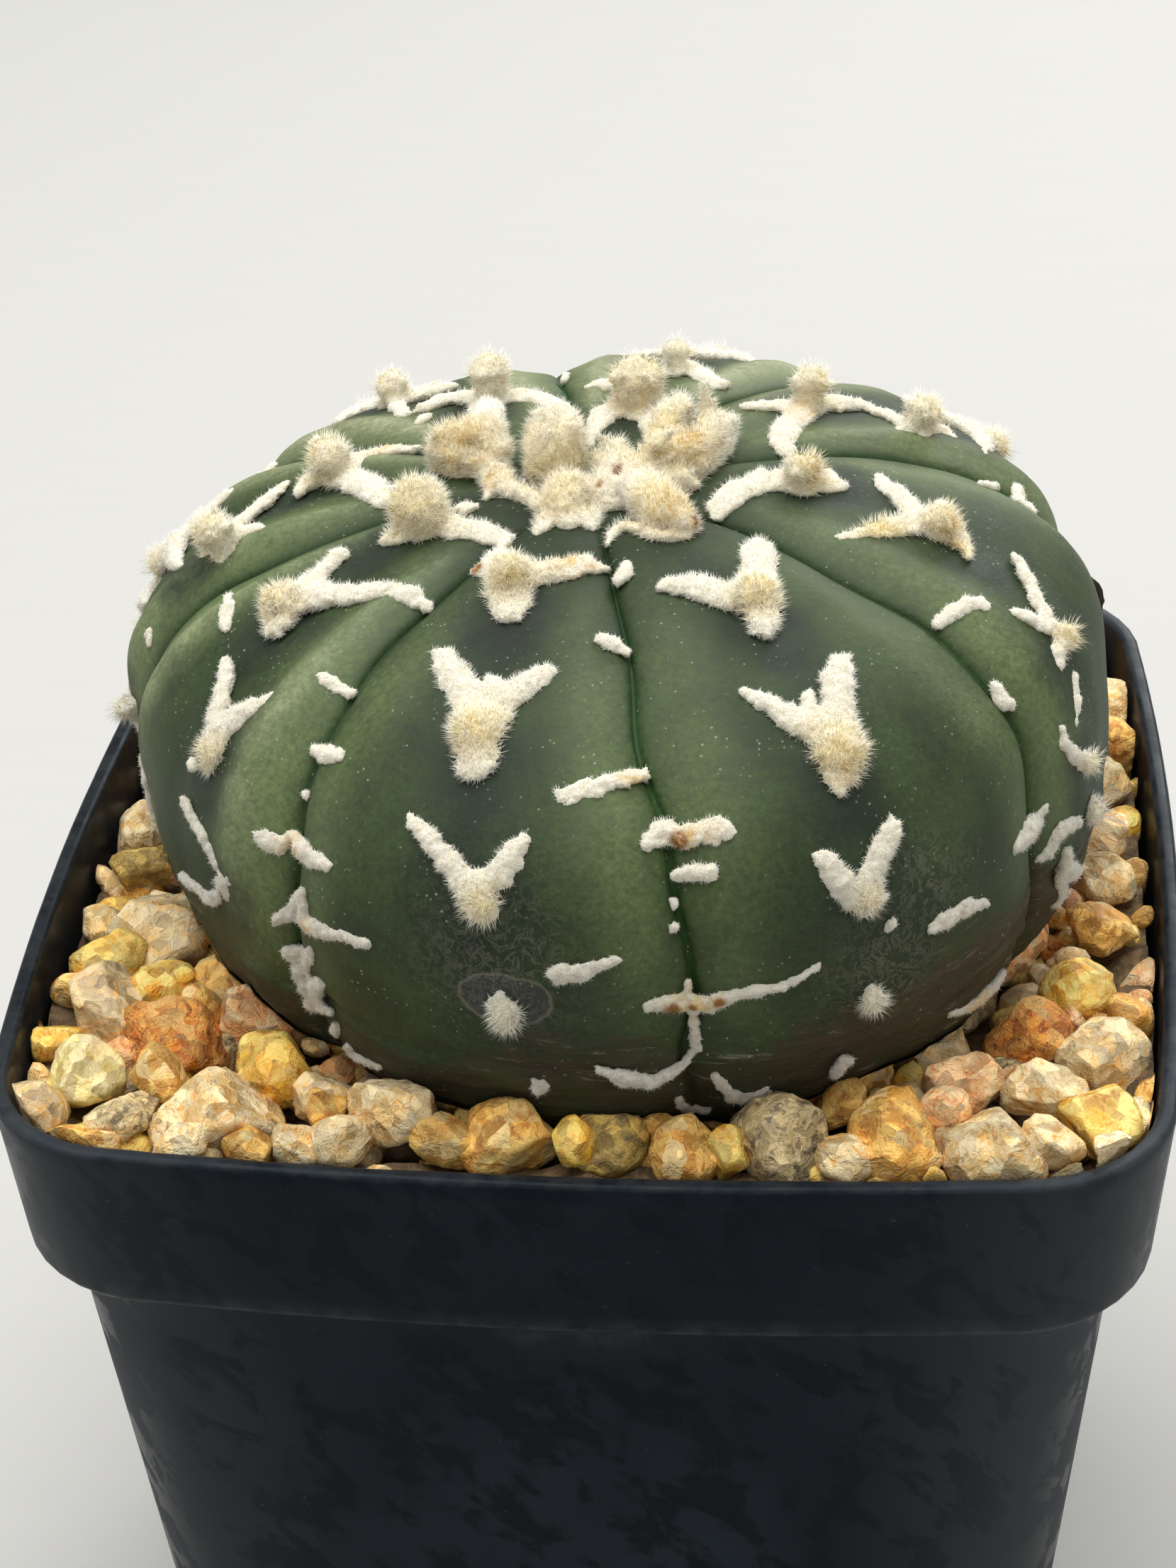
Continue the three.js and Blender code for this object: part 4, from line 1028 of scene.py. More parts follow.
@dataclass
class CactusBody:
    """The ribbed body with its root, as one fine skin."""

    columns_per_rib: int = 36
    rows: int = 210
    column_gather: float = 0.72
    skin_share: float = 0.92
    upper_share: float = 0.80
    upper_end: float = 106.0
    last_polar: float = 176.0
    profile_steps: int = 1761
    crease_depth: float = 0.64
    crease_width: float = 0.28
    fold_height: float = 0.42
    fold_at: float = 0.62
    fold_width: float = 0.13
    channel_depth: float = 0.36
    swell: float = 0.24
    crown_fade: Place = (5.0, 15.0)
    base_fade: Place = (112.0, 132.0)
    cork_from: Place = (94.0, 108.0)
    wrinkle: float = 0.45
    pale_from_groove: float = 2.6
    pale_width: float = 2.3
    groove_line: float = 0.40
    halo: float = 1.9
    fold_shares: tuple[float, ...] = (0.5, 0.8, 1.0, 1.0, 1.2, 1.4, 1.6, 0.6)
    # Share of pale flank and fold on each rib; the larger shares on the ribs at the back are partly painted
    # sheen.
    pale_and_sheen_shares: tuple[float, ...] = (0.4, 0.8, 1.0, 1.5, 1.6, 1.6, 1.7, 0.5)
    scuffs: tuple[Spot, ...] = ((-96, 84, 5.0), (-58, 91, 4.0), (-52, 84, 3.0))
    streaked: tuple[Spot, ...] = (
        (-62, 102, 4.6), (-48, 103, 5.2), (-36, 105, 4.4), (-93, 96, 3.2), (-86, 99, 3.4))
    root: tuple[Place, ...] = ((8.5, 1.5), (7.0, 12.0), (4.5, 24.0), (1.6, 34.0))
    root_rows: tuple[float, ...] = (0.0, 0.12, 0.4, 0.7, 0.94, 1.0)
    flecks: Sequence[Fleck] = field(default_factory=lambda: [*V_FLECKS, *back_flecks()])

    def build(self) -> tuple[Object, BVHTree]:
        """Builds the body.

        Returns:
            The body and a search tree of its skin.
        """
        ribs = len(SKIN.grooves)
        bm = bmesh.new()
        bmesh.ops.create_grid(bm, x_segments=ribs * self.columns_per_rib, y_segments=self.rows, size=0.5)
        for vert in bm.verts:
            turn, drop = math.tau * (vert.co.x + 0.5), math.pi * (0.5 - vert.co.y)
            vert.co = math.sin(drop) * math.cos(turn), math.sin(drop) * math.sin(turn), math.cos(drop)
        bmesh.ops.remove_doubles(bm, verts=bm.verts, dist=1e-5)
        mesh = mesh_from(bm, "cactus_body")
        ball = points_of(mesh)
        share = np.degrees(np.arccos(np.clip(ball[:, 2], -1, 1))) / 180.0
        turn = np.round(np.degrees(np.arctan2(ball[:, 1], ball[:, 0])), 4) % 360.0 / 360.0 * ribs
        azimuth, across, rib = self.columns(turn)
        polar = self.polars(share)
        points = self.skin_points(azimuth, across, rib, polar)
        root = share > self.skin_share
        points[root] = self.root_points(azimuth[root], share[root])
        set_points(mesh, points)
        self.mark(mesh, azimuth, across, rib, polar, points)
        made = finish_object("cactus_body", mesh, SkinFinish().material())
        tree = BVHTree.FromPolygons(points.tolist(), [tuple(p.vertices) for p in mesh.polygons])
        return made, tree

    def columns(self, turn: Array) -> tuple[Array, Array, Array]:
        """Spreads the mesh's columns over the ribs, closer together near the grooves.

        Args:
            turn: Place of each point round the plant, in ribs.

        Returns:
            Its azimuth, its place across the rib and the number of the rib.
        """
        edges = SKIN.edges
        rib = np.minimum(turn.astype(int), len(edges) - 2)
        even = 2 * (turn - rib) - 1
        across = even + self.column_gather * np.sin(np.pi * even) / np.pi
        half = (edges[rib + 1] - edges[rib]) / 2
        return edges[rib] + half + across * half, across, rib

    def polars(self, share: Array) -> Array:
        """Spreads the mesh's rows evenly along the profile, closer together where they show.

        Args:
            share: Place of each point from the crown to the root's tip, from 0 to 1.

        Returns:
            Its polar angle.
        """
        t = np.clip(share / self.skin_share, 0.0, 1.0)
        stations = np.linspace(0.0, self.last_polar, self.profile_steps)
        steps = np.linalg.norm(np.diff(SKIN.place(-55.0, stations), axis=0), axis=1)
        along = np.concatenate([[0.0], np.cumsum(steps)])
        shown = along[np.searchsorted(stations, self.upper_end)]
        reach = np.where(t < self.upper_share, t / self.upper_share * shown,
                         shown + (t - self.upper_share) / (1 - self.upper_share) * (along[-1] - shown))
        return np.interp(reach, along, stations)

    def skin_points(self, azimuth: Array, across: Array, rib: Array, polar: Array) -> Array:
        """Shapes the skin with its creases, folds and swellings.

        Args:
            azimuth: Azimuth of each point.
            across: Its place across the rib.
            rib: Number of its rib.
            polar: Its polar angle.

        Returns:
            The points, in metres.
        """
        to_groove = (1 - np.abs(across)) * self.half_width(rib, polar)
        fade = smoothstep(*self.crown_fade, polar) * (1 - smoothstep(*self.base_fade, polar))
        crease = -self.crease_depth * np.exp(-to_groove / self.crease_width) * fade
        share = np.array(self.fold_shares)[rib]
        shown = smoothstep(12, 38, polar) * (1 - 0.75 * smoothstep(72, 100, polar))
        fold = self.fold_height * np.exp(-(((np.abs(across) - self.fold_at) / self.fold_width) ** 2))
        channel = -self.channel_depth * np.exp(-((across / 0.20) ** 2))
        height = crease + (fold + channel) * share * shown
        groove = np.where(across > 0, rib + 1, rib) % len(SKIN.grooves)
        wave = (0.8 * np.sin(np.radians(polar) * 5.6 + 1.9 * groove)
                + 0.45 * np.sin(np.radians(polar) * 13.0 + 3.1 * groove))
        swing = wave * np.abs(across) ** 5 * fade
        rough_points = SKIN.place(azimuth, polar) / MM
        height = height + self.swell * roughness_at(rough_points, 11.0, 2)
        wrinkles = roughness_at(rough_points * np.array([0.35, 0.35, 1.6]), 2.4, 3, 5.0)
        height = height + self.wrinkle * smoothstep(*self.cork_from, polar) * wrinkles
        return SKIN.place(azimuth, polar, height, swing)

    @staticmethod
    def half_width(rib: Array, polar: Array) -> Array:
        """Returns half the width of some ribs at some polar angles, in millimetres."""
        half = np.radians((SKIN.edges[rib + 1] - SKIN.edges[rib]) / 2)
        return half * SKIN.radius * np.clip(np.sin(np.radians(polar)), 0.02, 1.0)

    def root_points(self, azimuth: Array, share: Array) -> Array:
        """Shapes the root below the flat underside.

        Args:
            azimuth: Azimuth of each point.
            share: Its place from the crown to the root's tip, from 0 to 1.

        Returns:
            The points, in metres.
        """
        t = (share - self.skin_share) / (1 - self.skin_share)
        top = SKIN.undercut_drop - SKIN.equator_rise
        radii = [SKIN.radius * math.sin(math.radians(self.last_polar)) ** SKIN.undercut_rounding]
        depths = [top]
        for radius, depth in self.root:
            radii.append(radius)
            depths.append(top + depth)
        reach = np.interp(t, self.root_rows, [*radii, 0.0])
        depth = np.interp(t, self.root_rows, [*depths, depths[-1]])
        angle = np.radians(azimuth)
        return SKIN.in_pot(np.stack([reach * np.cos(angle), reach * np.sin(angle), -depth], axis=-1))

    def mark(self, mesh: Mesh, azimuth: Array, across: Array, rib: Array, polar: Array,
             points: Array) -> None:
        """Paints on the skin where it is pale, dark, creased, corky and scuffed, with painted shade below the
        flecks and in the creases, and painted shade and sheen on the front and the back.

        Args:
            mesh: The body.
            azimuth: Azimuth of each point.
            across: Its place across the rib.
            rib: Number of its rib.
            polar: Its polar angle.
            points: The points, in metres.
        """
        to_groove = (1 - np.abs(across)) * self.half_width(rib, polar)
        shown = smoothstep(8, 30, polar) * (1 - smoothstep(80, 108, polar))
        # Pale flanks and folds; the larger shares at the back add painted sheen.
        share = np.array(self.pale_and_sheen_shares)[rib]
        pale = np.exp(-(((to_groove - self.pale_from_groove) / self.pale_width) ** 2)) * shown
        paint(mesh, "flank", np.clip(pale * (0.55 + 0.3 * share), 0.0, 1.0))
        fold = np.exp(-(((np.abs(across) - self.fold_at) / self.fold_width) ** 2)) * shown
        paint(mesh, "fold", np.clip(0.75 * fold * (share - 0.5), 0.0, 1.0))
        # The suture's dark line, partly painted shade in the crease.
        crease = np.exp(-((to_groove / self.groove_line) ** 2)) * smoothstep(10, 22, polar)
        paint(mesh, "crease", 0.85 * crease * (1 - smoothstep(96, 112, polar)))
        streaked = self.near(points, self.streaked)
        paint(mesh, "low", np.clip(0.68 * smoothstep(90, 112, polar) + 0.5 * streaked, 0.0, 1.0))
        paint(mesh, "scuff", 0.30 * self.near(points, self.scuffs))
        fade = 1 - 0.22 * smoothstep(66, 80, polar) - 0.4 * smoothstep(92, 108, polar)
        line = 0.55 * np.exp(-((across / 0.16) ** 2)) * smoothstep(20, 40, polar)
        # Dark areole line and dark skin round each fleck, with a painted shade a little below each.
        paint(mesh, "areole", np.maximum(self.halos_and_painted_shade(points), line) * fade)
        front = 0.5 - 0.5 * np.sin(np.radians(azimuth))
        paint(mesh, "shade", (1 - smoothstep(14, 58, polar)) * front)
        # Painted sheen on the back ribs, where grazing light falls.
        paint(mesh, "bloom", smoothstep(0.5, 0.9, 1 - front) * (1 - smoothstep(50, 80, polar)))

    def halos_and_painted_shade(self, points: Array) -> Array:
        """Finds the dark skin round the foot of each fleck, and a painted shade a little below it.

        Args:
            points: The skin's points, in metres.

        Returns:
            A value from 0 to 1 for each point.
        """
        value = np.zeros(len(points))
        for fleck in self.flecks:
            centre = SKIN.place(*fleck.foot) / MM
            # The spot 2 mm below the foot is painted shade under the fleck.
            below = SKIN.place(*SKIN.moved(fleck.foot, 0, -2.0)) / MM
            for spot, size in ((centre, self.halo + 0.1 + fleck.pad), (below, self.halo + fleck.pad)):
                away = np.linalg.norm(points / MM - spot, axis=1)
                value = np.maximum(value, np.exp(-((away / size) ** 4)))
        return value

    @staticmethod
    def near(points: Array, spots: Sequence[Spot]) -> Array:
        """Measures how near points are to spots.

        Args:
            points: The points, in metres.
            spots: An azimuth, a polar angle and a reach in millimetres for each spot.

        Returns:
            A value for each point, 1 in the middle of a spot.
        """
        value = np.zeros(len(points))
        for azimuth, polar, reach in spots:
            away = np.linalg.norm(points - SKIN.place(azimuth, polar), axis=1) / MM
            value = np.maximum(value, np.exp(-((away / reach) ** 2)))
        return value


# Wool


class WoolTone(Enum):
    """Colours that the wool takes in places."""

    CREAM = "pad"
    TAN = "tan"
    BROWN = "stain"


FLECK_TINTS: dict[WoolTone, tuple[Lump, ...]] = {
    WoolTone.CREAM: (
        (-14, 45.5, 0.5, 1.2), (-18, 35, 0.4, 2),
    ),
    WoolTone.TAN: (
        (-88, 18, 0.6, 1.6), (-123.5, 75.5, 0.5, 1.2), (-120, 87, 0.4, 0.8), (-80, 53.8, 0.4, 0.9),
        (-75, 65, 0.5, 1.1), (-77.5, 90, 0.4, 1.6), (-44, 119.5, 0.4, 2), (-56.5, 60.5, 1.2, 1.1),
        (-5, 24, 2, 1.3), (33, 27, 1.2, 1.2), (152, 27.5, 0.4, 1.2), (76, 15.5, 1.6, 1.3),
        (-11, 42.5, 0.8, 1.2),
    ),
    WoolTone.BROWN: (
        (-119.5, 20, 0.6, 0.5), (-123.5, 75.5, 0.5, 0.45), (-76.5, 65, 0.5, 0.6), (-79.6, 90, 0.4, 0.6),
        (-77.5, 90.1, 0.5, 0.3), (-75, 89.9, 0.5, 0.4),
    ),
}


@dataclass
class WoolCore:
    """Felted wool, laid as beads on the skin and fused to one uneven skin of felt."""

    voxel: float = 0.2
    bead_step: float = 0.34
    unevenness: float = 0.16
    crown_fullness: float = 0.45
    fuller_above: Place = (24.0, 46.0)
    full_width: float = 1.15
    least_width: float = 0.18
    lump_sizes: Place = (0.16, 0.30)
    dome_locks: int = 20
    seed: int = 11
    marks: list[tuple[Array, float, WoolTone]] = field(default_factory=list)
    girths: list[Array] = field(default_factory=list)

    def __post_init__(self) -> None:
        """Starts the seeded numbers of this piece and its heap of beads."""
        self.random = np.random.default_rng(self.seed)
        self.beads = Repeats(ball_shape(2))

    def lumps(self, centres: Array, axes: Array) -> None:
        """Adds oval beads with a point and three rows of half axes for each, in metres."""
        turned = np.einsum("vk,nki->nvi", self.beads.points, axes)
        self.beads.add(centres[:, None, :] + turned)

    def on_skin(self, at: Array, width: Array, up: Array, rise: Array) -> None:
        """Adds beads that lie on the skin.

        Args:
            at: Rows of azimuth and polar angle.
            width: Half width of each bead along the skin.
            up: Half height of each bead.
            rise: Height of their middles above the skin.
        """
        east, north, out = SKIN.axes_at(at[:, 0], at[:, 1])
        turn = self.random.uniform(0, math.tau, len(at))[:, None]
        first = np.cos(turn) * east + np.sin(turn) * north
        second = np.cross(out, first)
        wobble = 1 + self.unevenness * self.random.uniform(-1, 1, (len(at), 3))
        sizes = np.stack([width, width, up], axis=1) * wobble * MM
        axes = np.stack([first, second, out], axis=1) * sizes[:, :, None]
        self.lumps(SKIN.place(at[:, 0], at[:, 1]) + out * (rise * MM)[:, None], axes)

    def limb(self, beads: Limb) -> None:
        """Lays flat felt along a limb, with small lumps along its edges.

        Args:
            beads: Azimuth, polar angle and half width of each bead of the limb.
        """
        rows = np.array(beads, float)
        if len(rows) == 1:
            rows = np.repeat(rows, 2, axis=0)
        gaps = np.linalg.norm(np.diff(SKIN.place(rows[:, 0], rows[:, 1]), axis=0), axis=1) / MM
        along = np.concatenate([[0.0], np.cumsum(gaps)])
        step = self.bead_step * rows[:, 2].mean()
        t = np.linspace(0.0, along[-1], max(2, int(along[-1] / step) + 1))
        at = np.stack([np.interp(t, along, rows[:, k]) for k in (0, 1)], axis=1)
        width = np.maximum(np.interp(t, along, rows[:, 2]), self.least_width)
        full = 1 + self.crown_fullness * (1 - smoothstep(*self.fuller_above, at[:, 1]))
        width = np.maximum(width, np.minimum(width * full, self.full_width))
        jitter = 0.12 * width * self.random.uniform(-1, 1, (2, len(t)))
        flat = np.full(len(t), 0.08)
        self.on_skin(SKIN.moved(at, *jitter), 0.9 * width, 0.24 + 0.3 * width, flat)
        self.girths.append(np.column_stack([SKIN.place(at[:, 0], at[:, 1]), width]))
        for angle in self.random.uniform(0, math.tau, (3, len(t))):
            reach = 0.86 * width
            edge = SKIN.moved(at, reach * np.cos(angle), reach * np.sin(angle))
            size = self.random.uniform(*self.lump_sizes, len(t)) * (0.6 + 0.4 * width)
            self.on_skin(edge, size, 0.8 * size + 0.1, flat)

    def dome(self, bead: Bead, rise: float) -> None:
        """Adds a low pillow on the felt, or a fluffy ball where it stands up.

        Args:
            bead: Azimuth, polar angle and radius.
            rise: Height of the ball's middle above the skin, 0 for a pillow.
        """
        at, radius = np.array([bead[:2]], float), bead[2]
        if rise == 0:
            self.on_skin(at, np.array([0.92 * radius]), np.array([0.35 + 0.42 * radius]), np.array([0.25]))
            return
        heights = np.array([0.08, 0.3, 0.6, 0.95, 1.1]) * rise
        self.on_skin(np.repeat(at, len(heights), axis=0), radius * np.array([1.0, 0.84, 0.84, 0.86, 0.62]),
                     radius * np.array([0.35, 0.6, 0.8, 0.78, 0.72]), heights)
        _, _, out = SKIN.axes_at(*at[0])
        self.locks(SKIN.place(*at[0]) + out * 0.95 * rise * MM, radius, self.dome_locks, out)

    def strand(self, lumps: Sequence[Lump], locks: int) -> None:
        """Lays a strand of felt through lumps, filled in down to the skin.

        Args:
            lumps: Azimuth, polar angle, height above the skin and radius of each.
            locks: Number of locks round each lump.
        """
        rows = np.array(lumps, float)
        feet, out = SKIN.place(rows[:, 0], rows[:, 1]), SKIN.axes_at(rows[:, 0], rows[:, 1])[2]
        centres = feet + out * (rows[:, 2] * MM)[:, None]
        along = np.concatenate([[0.0], np.cumsum(np.linalg.norm(np.diff(centres, axis=0), axis=1) / MM)])
        t = np.linspace(0.0, along[-1], max(2, int(along[-1] / (0.3 * rows[:, 3].mean())) + 1))
        rise, radius, *foot_and_up = (
            np.interp(t, along, column) for column in (rows[:, 2], rows[:, 3], *feet.T, *out.T))
        foot, up = (np.stack(columns, axis=1) for columns in (foot_and_up[:3], foot_and_up[3:]))
        side = unit(np.cross(up, self.random.normal(size=up.shape)))
        frame = np.stack([side, np.cross(up, side), up], axis=1)
        for share, slim in ((1.0, 1.0), (0.62, 0.92), (0.28, 0.86), (0.0, 0.8)):
            wobble = 1 + self.unevenness * self.random.uniform(-1, 1, (len(t), 3))
            sizes = radius[:, None] * np.array([0.95, 0.95, 0.72]) * slim * wobble * MM
            self.lumps(foot + up * (share * rise * MM)[:, None], frame * sizes[:, :, None])
        if locks:
            for centre, direction, size in zip(centres, out, rows[:, 3]):
                self.locks(centre, size, locks, direction)

    def locks(self, centre: Array, radius: float, count: int, up: Array) -> None:
        """Adds slim locks that stand out round a point.

        Args:
            centre: The point, in metres.
            radius: How far the locks reach, in millimetres.
            count: How many locks there are.
            up: Direction that they avoid pointing away from.
        """
        aim = unit(self.random.normal(size=(count, 3)))
        aim += up * np.maximum(0.0, 0.15 - aim @ up)[:, None]
        aim = unit(aim)
        side = unit(np.cross(aim, self.random.normal(size=aim.shape)))
        reach = radius * self.random.uniform(0.60, 0.80, (count, 1))
        long = self.random.uniform(0.24, 0.38, (count, 1)) * radius * MM
        thick = self.random.uniform(0.16, 0.30, (count, 1)) * radius * MM
        axes = np.stack([side * thick, np.cross(aim, side) * thick, aim * long], axis=1)
        self.lumps(centre + aim * reach * MM, axes)

    def fleck(self, piece: Fleck) -> None:
        """Lays a fleck.

        Args:
            piece: The fleck, with its limbs and, where it has one, its dome.
        """
        for limb in piece.limbs:
            self.limb(limb)
        if piece.dome:
            self.dome(piece.dome, piece.rise)
            azimuth, polar, radius = piece.dome
            self.marks.append((SKIN.place(azimuth, polar, 0.5 + piece.rise), 1.25 * radius, WoolTone.CREAM))
            self.girths.append(np.array([[*SKIN.place(azimuth, polar, piece.rise), 1.5 * radius]]))

    def tint(self, tints: dict[WoolTone, tuple[Lump, ...]]) -> None:
        """Notes coloured places, each with its azimuth, polar angle, height above the skin and radius."""
        for tone, places in tints.items():
            self.marks += [(SKIN.place(*place[:3]), place[3], tone) for place in places]

    def mesh(self, name: str) -> Mesh:
        """Fuses the beads into one closed skin of felt and roughens it.

        Args:
            name: Name of the mesh.

        Returns:
            The felt.
        """
        voxel = self.voxel * 1.0

        def fuse(carrier: Object) -> None:
            """Adds the remesh."""
            remesh = carrier.modifiers.new("felt", "REMESH")
            remesh.mode, remesh.voxel_size = "VOXEL", voxel * MM

        mesh = applied(gathered(name, [self.beads]), fuse)
        points, normals = points_of(mesh), points_of(mesh, "normal")
        rough = 0.13 * roughness_at(points / MM, 0.9, 2) + 0.11 * roughness_at(points / MM, 0.4, 2, 4.0)
        set_points(mesh, points + normals * (rough * MM)[:, None])
        return mesh

    def mark(self, mesh: Mesh) -> None:
        """Paints the cream, tan and brown places on the felt, and how wide it is there.

        Args:
            mesh: The felt.
        """
        points = points_of(mesh)
        for tone in WoolTone:
            value = np.zeros(len(points))
            for centre, size, kind in self.marks:
                if kind is tone:
                    away = np.linalg.norm(points - centre, axis=1) / MM
                    value = np.maximum(value, np.exp(-((away / size) ** 2)))
            paint(mesh, tone.value, value)
        known = np.concatenate(self.girths) if self.girths else np.array([[0.0, 0.0, 0.0, 1.0]])
        tree = KDTree(len(known))
        for i, row in enumerate(known):
            tree.insert(row[:3], i)
        tree.balance()
        paint(mesh, "girth", np.array([known[tree.find(point)[1], 3] for point in points]))


@dataclass
class HairCoat:
    """Short fibres that stand on a woolly core, each a slim three-sided cone, thickest along its edges."""

    per_square_mm: float = 60.0
    on_top: float = 0.4
    length: tuple[float, float] = (0.22, 0.60)
    fluff: float = 1.6
    lock: float = 0.45
    thickness: float = 0.022
    spread: float = 0.7
    seed: int = 5

    def build(self, name: str, core: Object, skin: BVHTree, finish: Material) -> Object:
        """Grows the fibres.

        Args:
            name: Piece name.
            core: Woolly core that carries them.
            skin: Search tree of the plant's skin, which keeps them off buried felt.
            finish: Material of the fibres.

        Returns:
            One object with all the fibres.
        """
        random = np.random.default_rng(self.seed)
        mesh = core.data
        corners, mix = self.scattered(mesh, random)
        roots, facing = (
            np.einsum("ni,nij->nj", mix, points_of(mesh, key)[corners]) for key in ("co", "normal"))
        clear, outward = self.above_skin(roots, skin)
        level = np.clip(np.einsum("ni,ni->n", facing, outward), 0.0, 1.0)
        keys = [*(tone.value for tone in WoolTone), "girth"]
        values = {key: self.value_near(mesh, key, corners, mix) for key in keys}
        fluffy = np.clip(values[WoolTone.CREAM.value], 0.0, 1.0)
        keep = clear & (random.random(len(roots)) < 1.0 - (1.0 - self.on_top) * level ** 2 * (1.0 - fluffy))
        roots, facing, outward, fluffy = roots[keep], facing[keep], outward[keep], fluffy[keep]
        values = {key: value[keep] for key, value in values.items()}
        girth = values.pop("girth")
        combed = np.stack([roughness_at(roots / MM, 0.9, 1, shift) for shift in (3.0, 17.0, 31.0)], axis=1)
        aim = facing + 0.15 * outward + self.spread * random.normal(0, 0.5, roots.shape)
        aim += 2.0 * self.lock * (0.3 + 0.7 * fluffy)[:, None] * combed
        aim -= np.minimum(0.0, np.einsum("ni,ni->n", aim, outward) - 0.02)[:, None] * outward
        aim /= np.linalg.norm(aim, axis=1)[:, None]
        long = random.uniform(*self.length, len(roots)) * (1.0 + self.fluff * fluffy) * MM
        long *= np.clip(0.35 + 0.65 * girth, 0.4, 1.0)
        cones = self.cones(roots - 0.1 * MM * aim, aim, long, values, random)
        return finish_object(name, gathered(name, [cones]), finish)

    def scattered(self, mesh: Mesh, random: np.random.Generator) -> tuple[Array, Array]:
        """Scatters roots evenly over the core.

        Args:
            mesh: Mesh of the core.
            random: Seeded numbers of this coat.

        Returns:
            The three corners that each root lies between, and its share of each.
        """
        mesh.calc_loop_triangles()
        corners = np.zeros(len(mesh.loop_triangles) * 3, int)
        mesh.loop_triangles.foreach_get("vertices", corners)
        corners = corners.reshape(-1, 3)
        a, b, c = (points_of(mesh)[corners[:, i]] for i in range(3))
        area = np.linalg.norm(np.cross(b - a, c - a), axis=1) / 2 / MM ** 2
        density = self.per_square_mm * 1.0
        count = int(area.sum() * density)
        chosen = random.choice(len(area), count, p=area / area.sum())
        u, v = random.random(count), random.random(count)
        flip = u + v > 1
        u[flip], v[flip] = 1 - u[flip], 1 - v[flip]
        return corners[chosen], np.stack([1 - u - v, u, v], axis=1)

    @staticmethod
    def above_skin(roots: Array, skin: BVHTree) -> tuple[Array, Array]:
        """Compares roots with the skin.

        Args:
            roots: The roots' points, in metres.
            skin: Search tree of the skin.

        Returns:
            Which roots stand clear of the skin, and the skin's outward direction there.
        """
        keep = np.zeros(len(roots), bool)
        outward = np.zeros(roots.shape)
        for i, root in enumerate(roots):
            near, normal, _, _ = skin.find_nearest(Vector(root))
            keep[i] = (Vector(root) - near).dot(normal) > 0.04 * MM
            outward[i] = normal
        return keep, outward

    @staticmethod
    def value_near(mesh: Mesh, name: str, corners: Array, mix: Array) -> Array:
        """Reads a painted value of the core.

        Args:
            mesh: Mesh of the core.
            name: Name of the value.
            corners: The three corners round each root.
            mix: The root's share of each corner.

        Returns:
            The value at each root.
        """
        values = np.zeros(len(mesh.vertices))
        mesh.attributes[name].data.foreach_get("value", values)
        return np.einsum("ni,ni->n", mix, values[corners])

    def cones(self, roots: Array, aim: Array, long: Array, values: dict[str, Array],
              random: np.random.Generator) -> Repeats:
        """Repeats one cone on every root.

        Args:
            roots: Foot of each cone, in metres.
            aim: Its unit direction.
            long: Its length, in metres.
            values: Painted values of each cone, by name.
            random: Seeded numbers of this coat.

        Returns:
            The cones.
        """
        cones = Repeats(cone_shape())
        shape = cones.points[None, :, :]
        side = unit(np.cross(aim, random.normal(size=aim.shape)))
        thick = (self.thickness * MM * random.uniform(0.7, 1.3, len(roots)))[:, None]
        cones.add(roots[:, None, :] + shape[:, :, 2:3] * (aim * long[:, None])[:, None, :]
                  + shape[:, :, 0:1] * (side * thick)[:, None, :]
                  + shape[:, :, 1:2] * (np.cross(aim, side) * thick)[:, None, :],
                  **{key: np.repeat(value, len(cones.points)) for key, value in values.items()})
        return cones


class WoolGroup(Enum):
    """Where a group of flecks stands, with the fibres on a square millimetre and the fineness of its felt."""

    FRONT = ("front", 78.0, 0.19)
    SIDES = ("sides", 52.0, 0.21)
    BACK = ("back", 26.0, 0.26)


@dataclass
class FleckWool:
    """The V flecks, pads and slivers on the ribs, in groups round the plant."""

    front_reach: float = 62.0
    sides_reach: float = 125.0

    def group_of(self, azimuth: float) -> WoolGroup:
        """Finds the group that a place belongs to.

        Args:
            azimuth: Its azimuth in degrees.

        Returns:
            The group.
        """
        turned = abs((azimuth + 90 + 180) % 360 - 180)
        if turned < self.front_reach:
            return WoolGroup.FRONT
        return WoolGroup.SIDES if turned < self.sides_reach else WoolGroup.BACK

    def build(self, skin: BVHTree) -> list[Object]:
        """Builds the felt and its fibres for each group.

        Args:
            skin: Search tree of the plant's skin.

        Returns:
            The pieces.
        """
        felt = WoolFinish("fleck_wool").material()
        fibre = WoolFinish("fleck_fibre", fibres=True).material()
        made = []
        for number, group in enumerate(WoolGroup):
            place, density, voxel = group.value
            core = WoolCore(voxel=voxel, seed=20 + number)
            for fleck in (*V_FLECKS, *SLIVERS, *back_flecks()):
                if self.group_of(fleck.foot[0]) is group:
                    core.fleck(fleck)
            core.tint(FLECK_TINTS)
            mesh = core.mesh(f"fleck_wool_{place}")
            core.mark(mesh)
            body = finish_object(f"fleck_wool_{place}", mesh, felt)
            coat = HairCoat(per_square_mm=density, seed=40 + number)
            made += [body, coat.build(f"fleck_hairs_{place}", body, skin, fibre)]
        return made


@dataclass(frozen=True)
class Tuft:
    """One tuft of the crown wool.

    Attributes:
        strands: Rows of lumps that felt together, each with its azimuth, polar angle, height above
            the skin and radius.
        locks: Number of locks round each lump.
    """

    strands: tuple[tuple[Lump, ...], ...]
    locks: int = 0


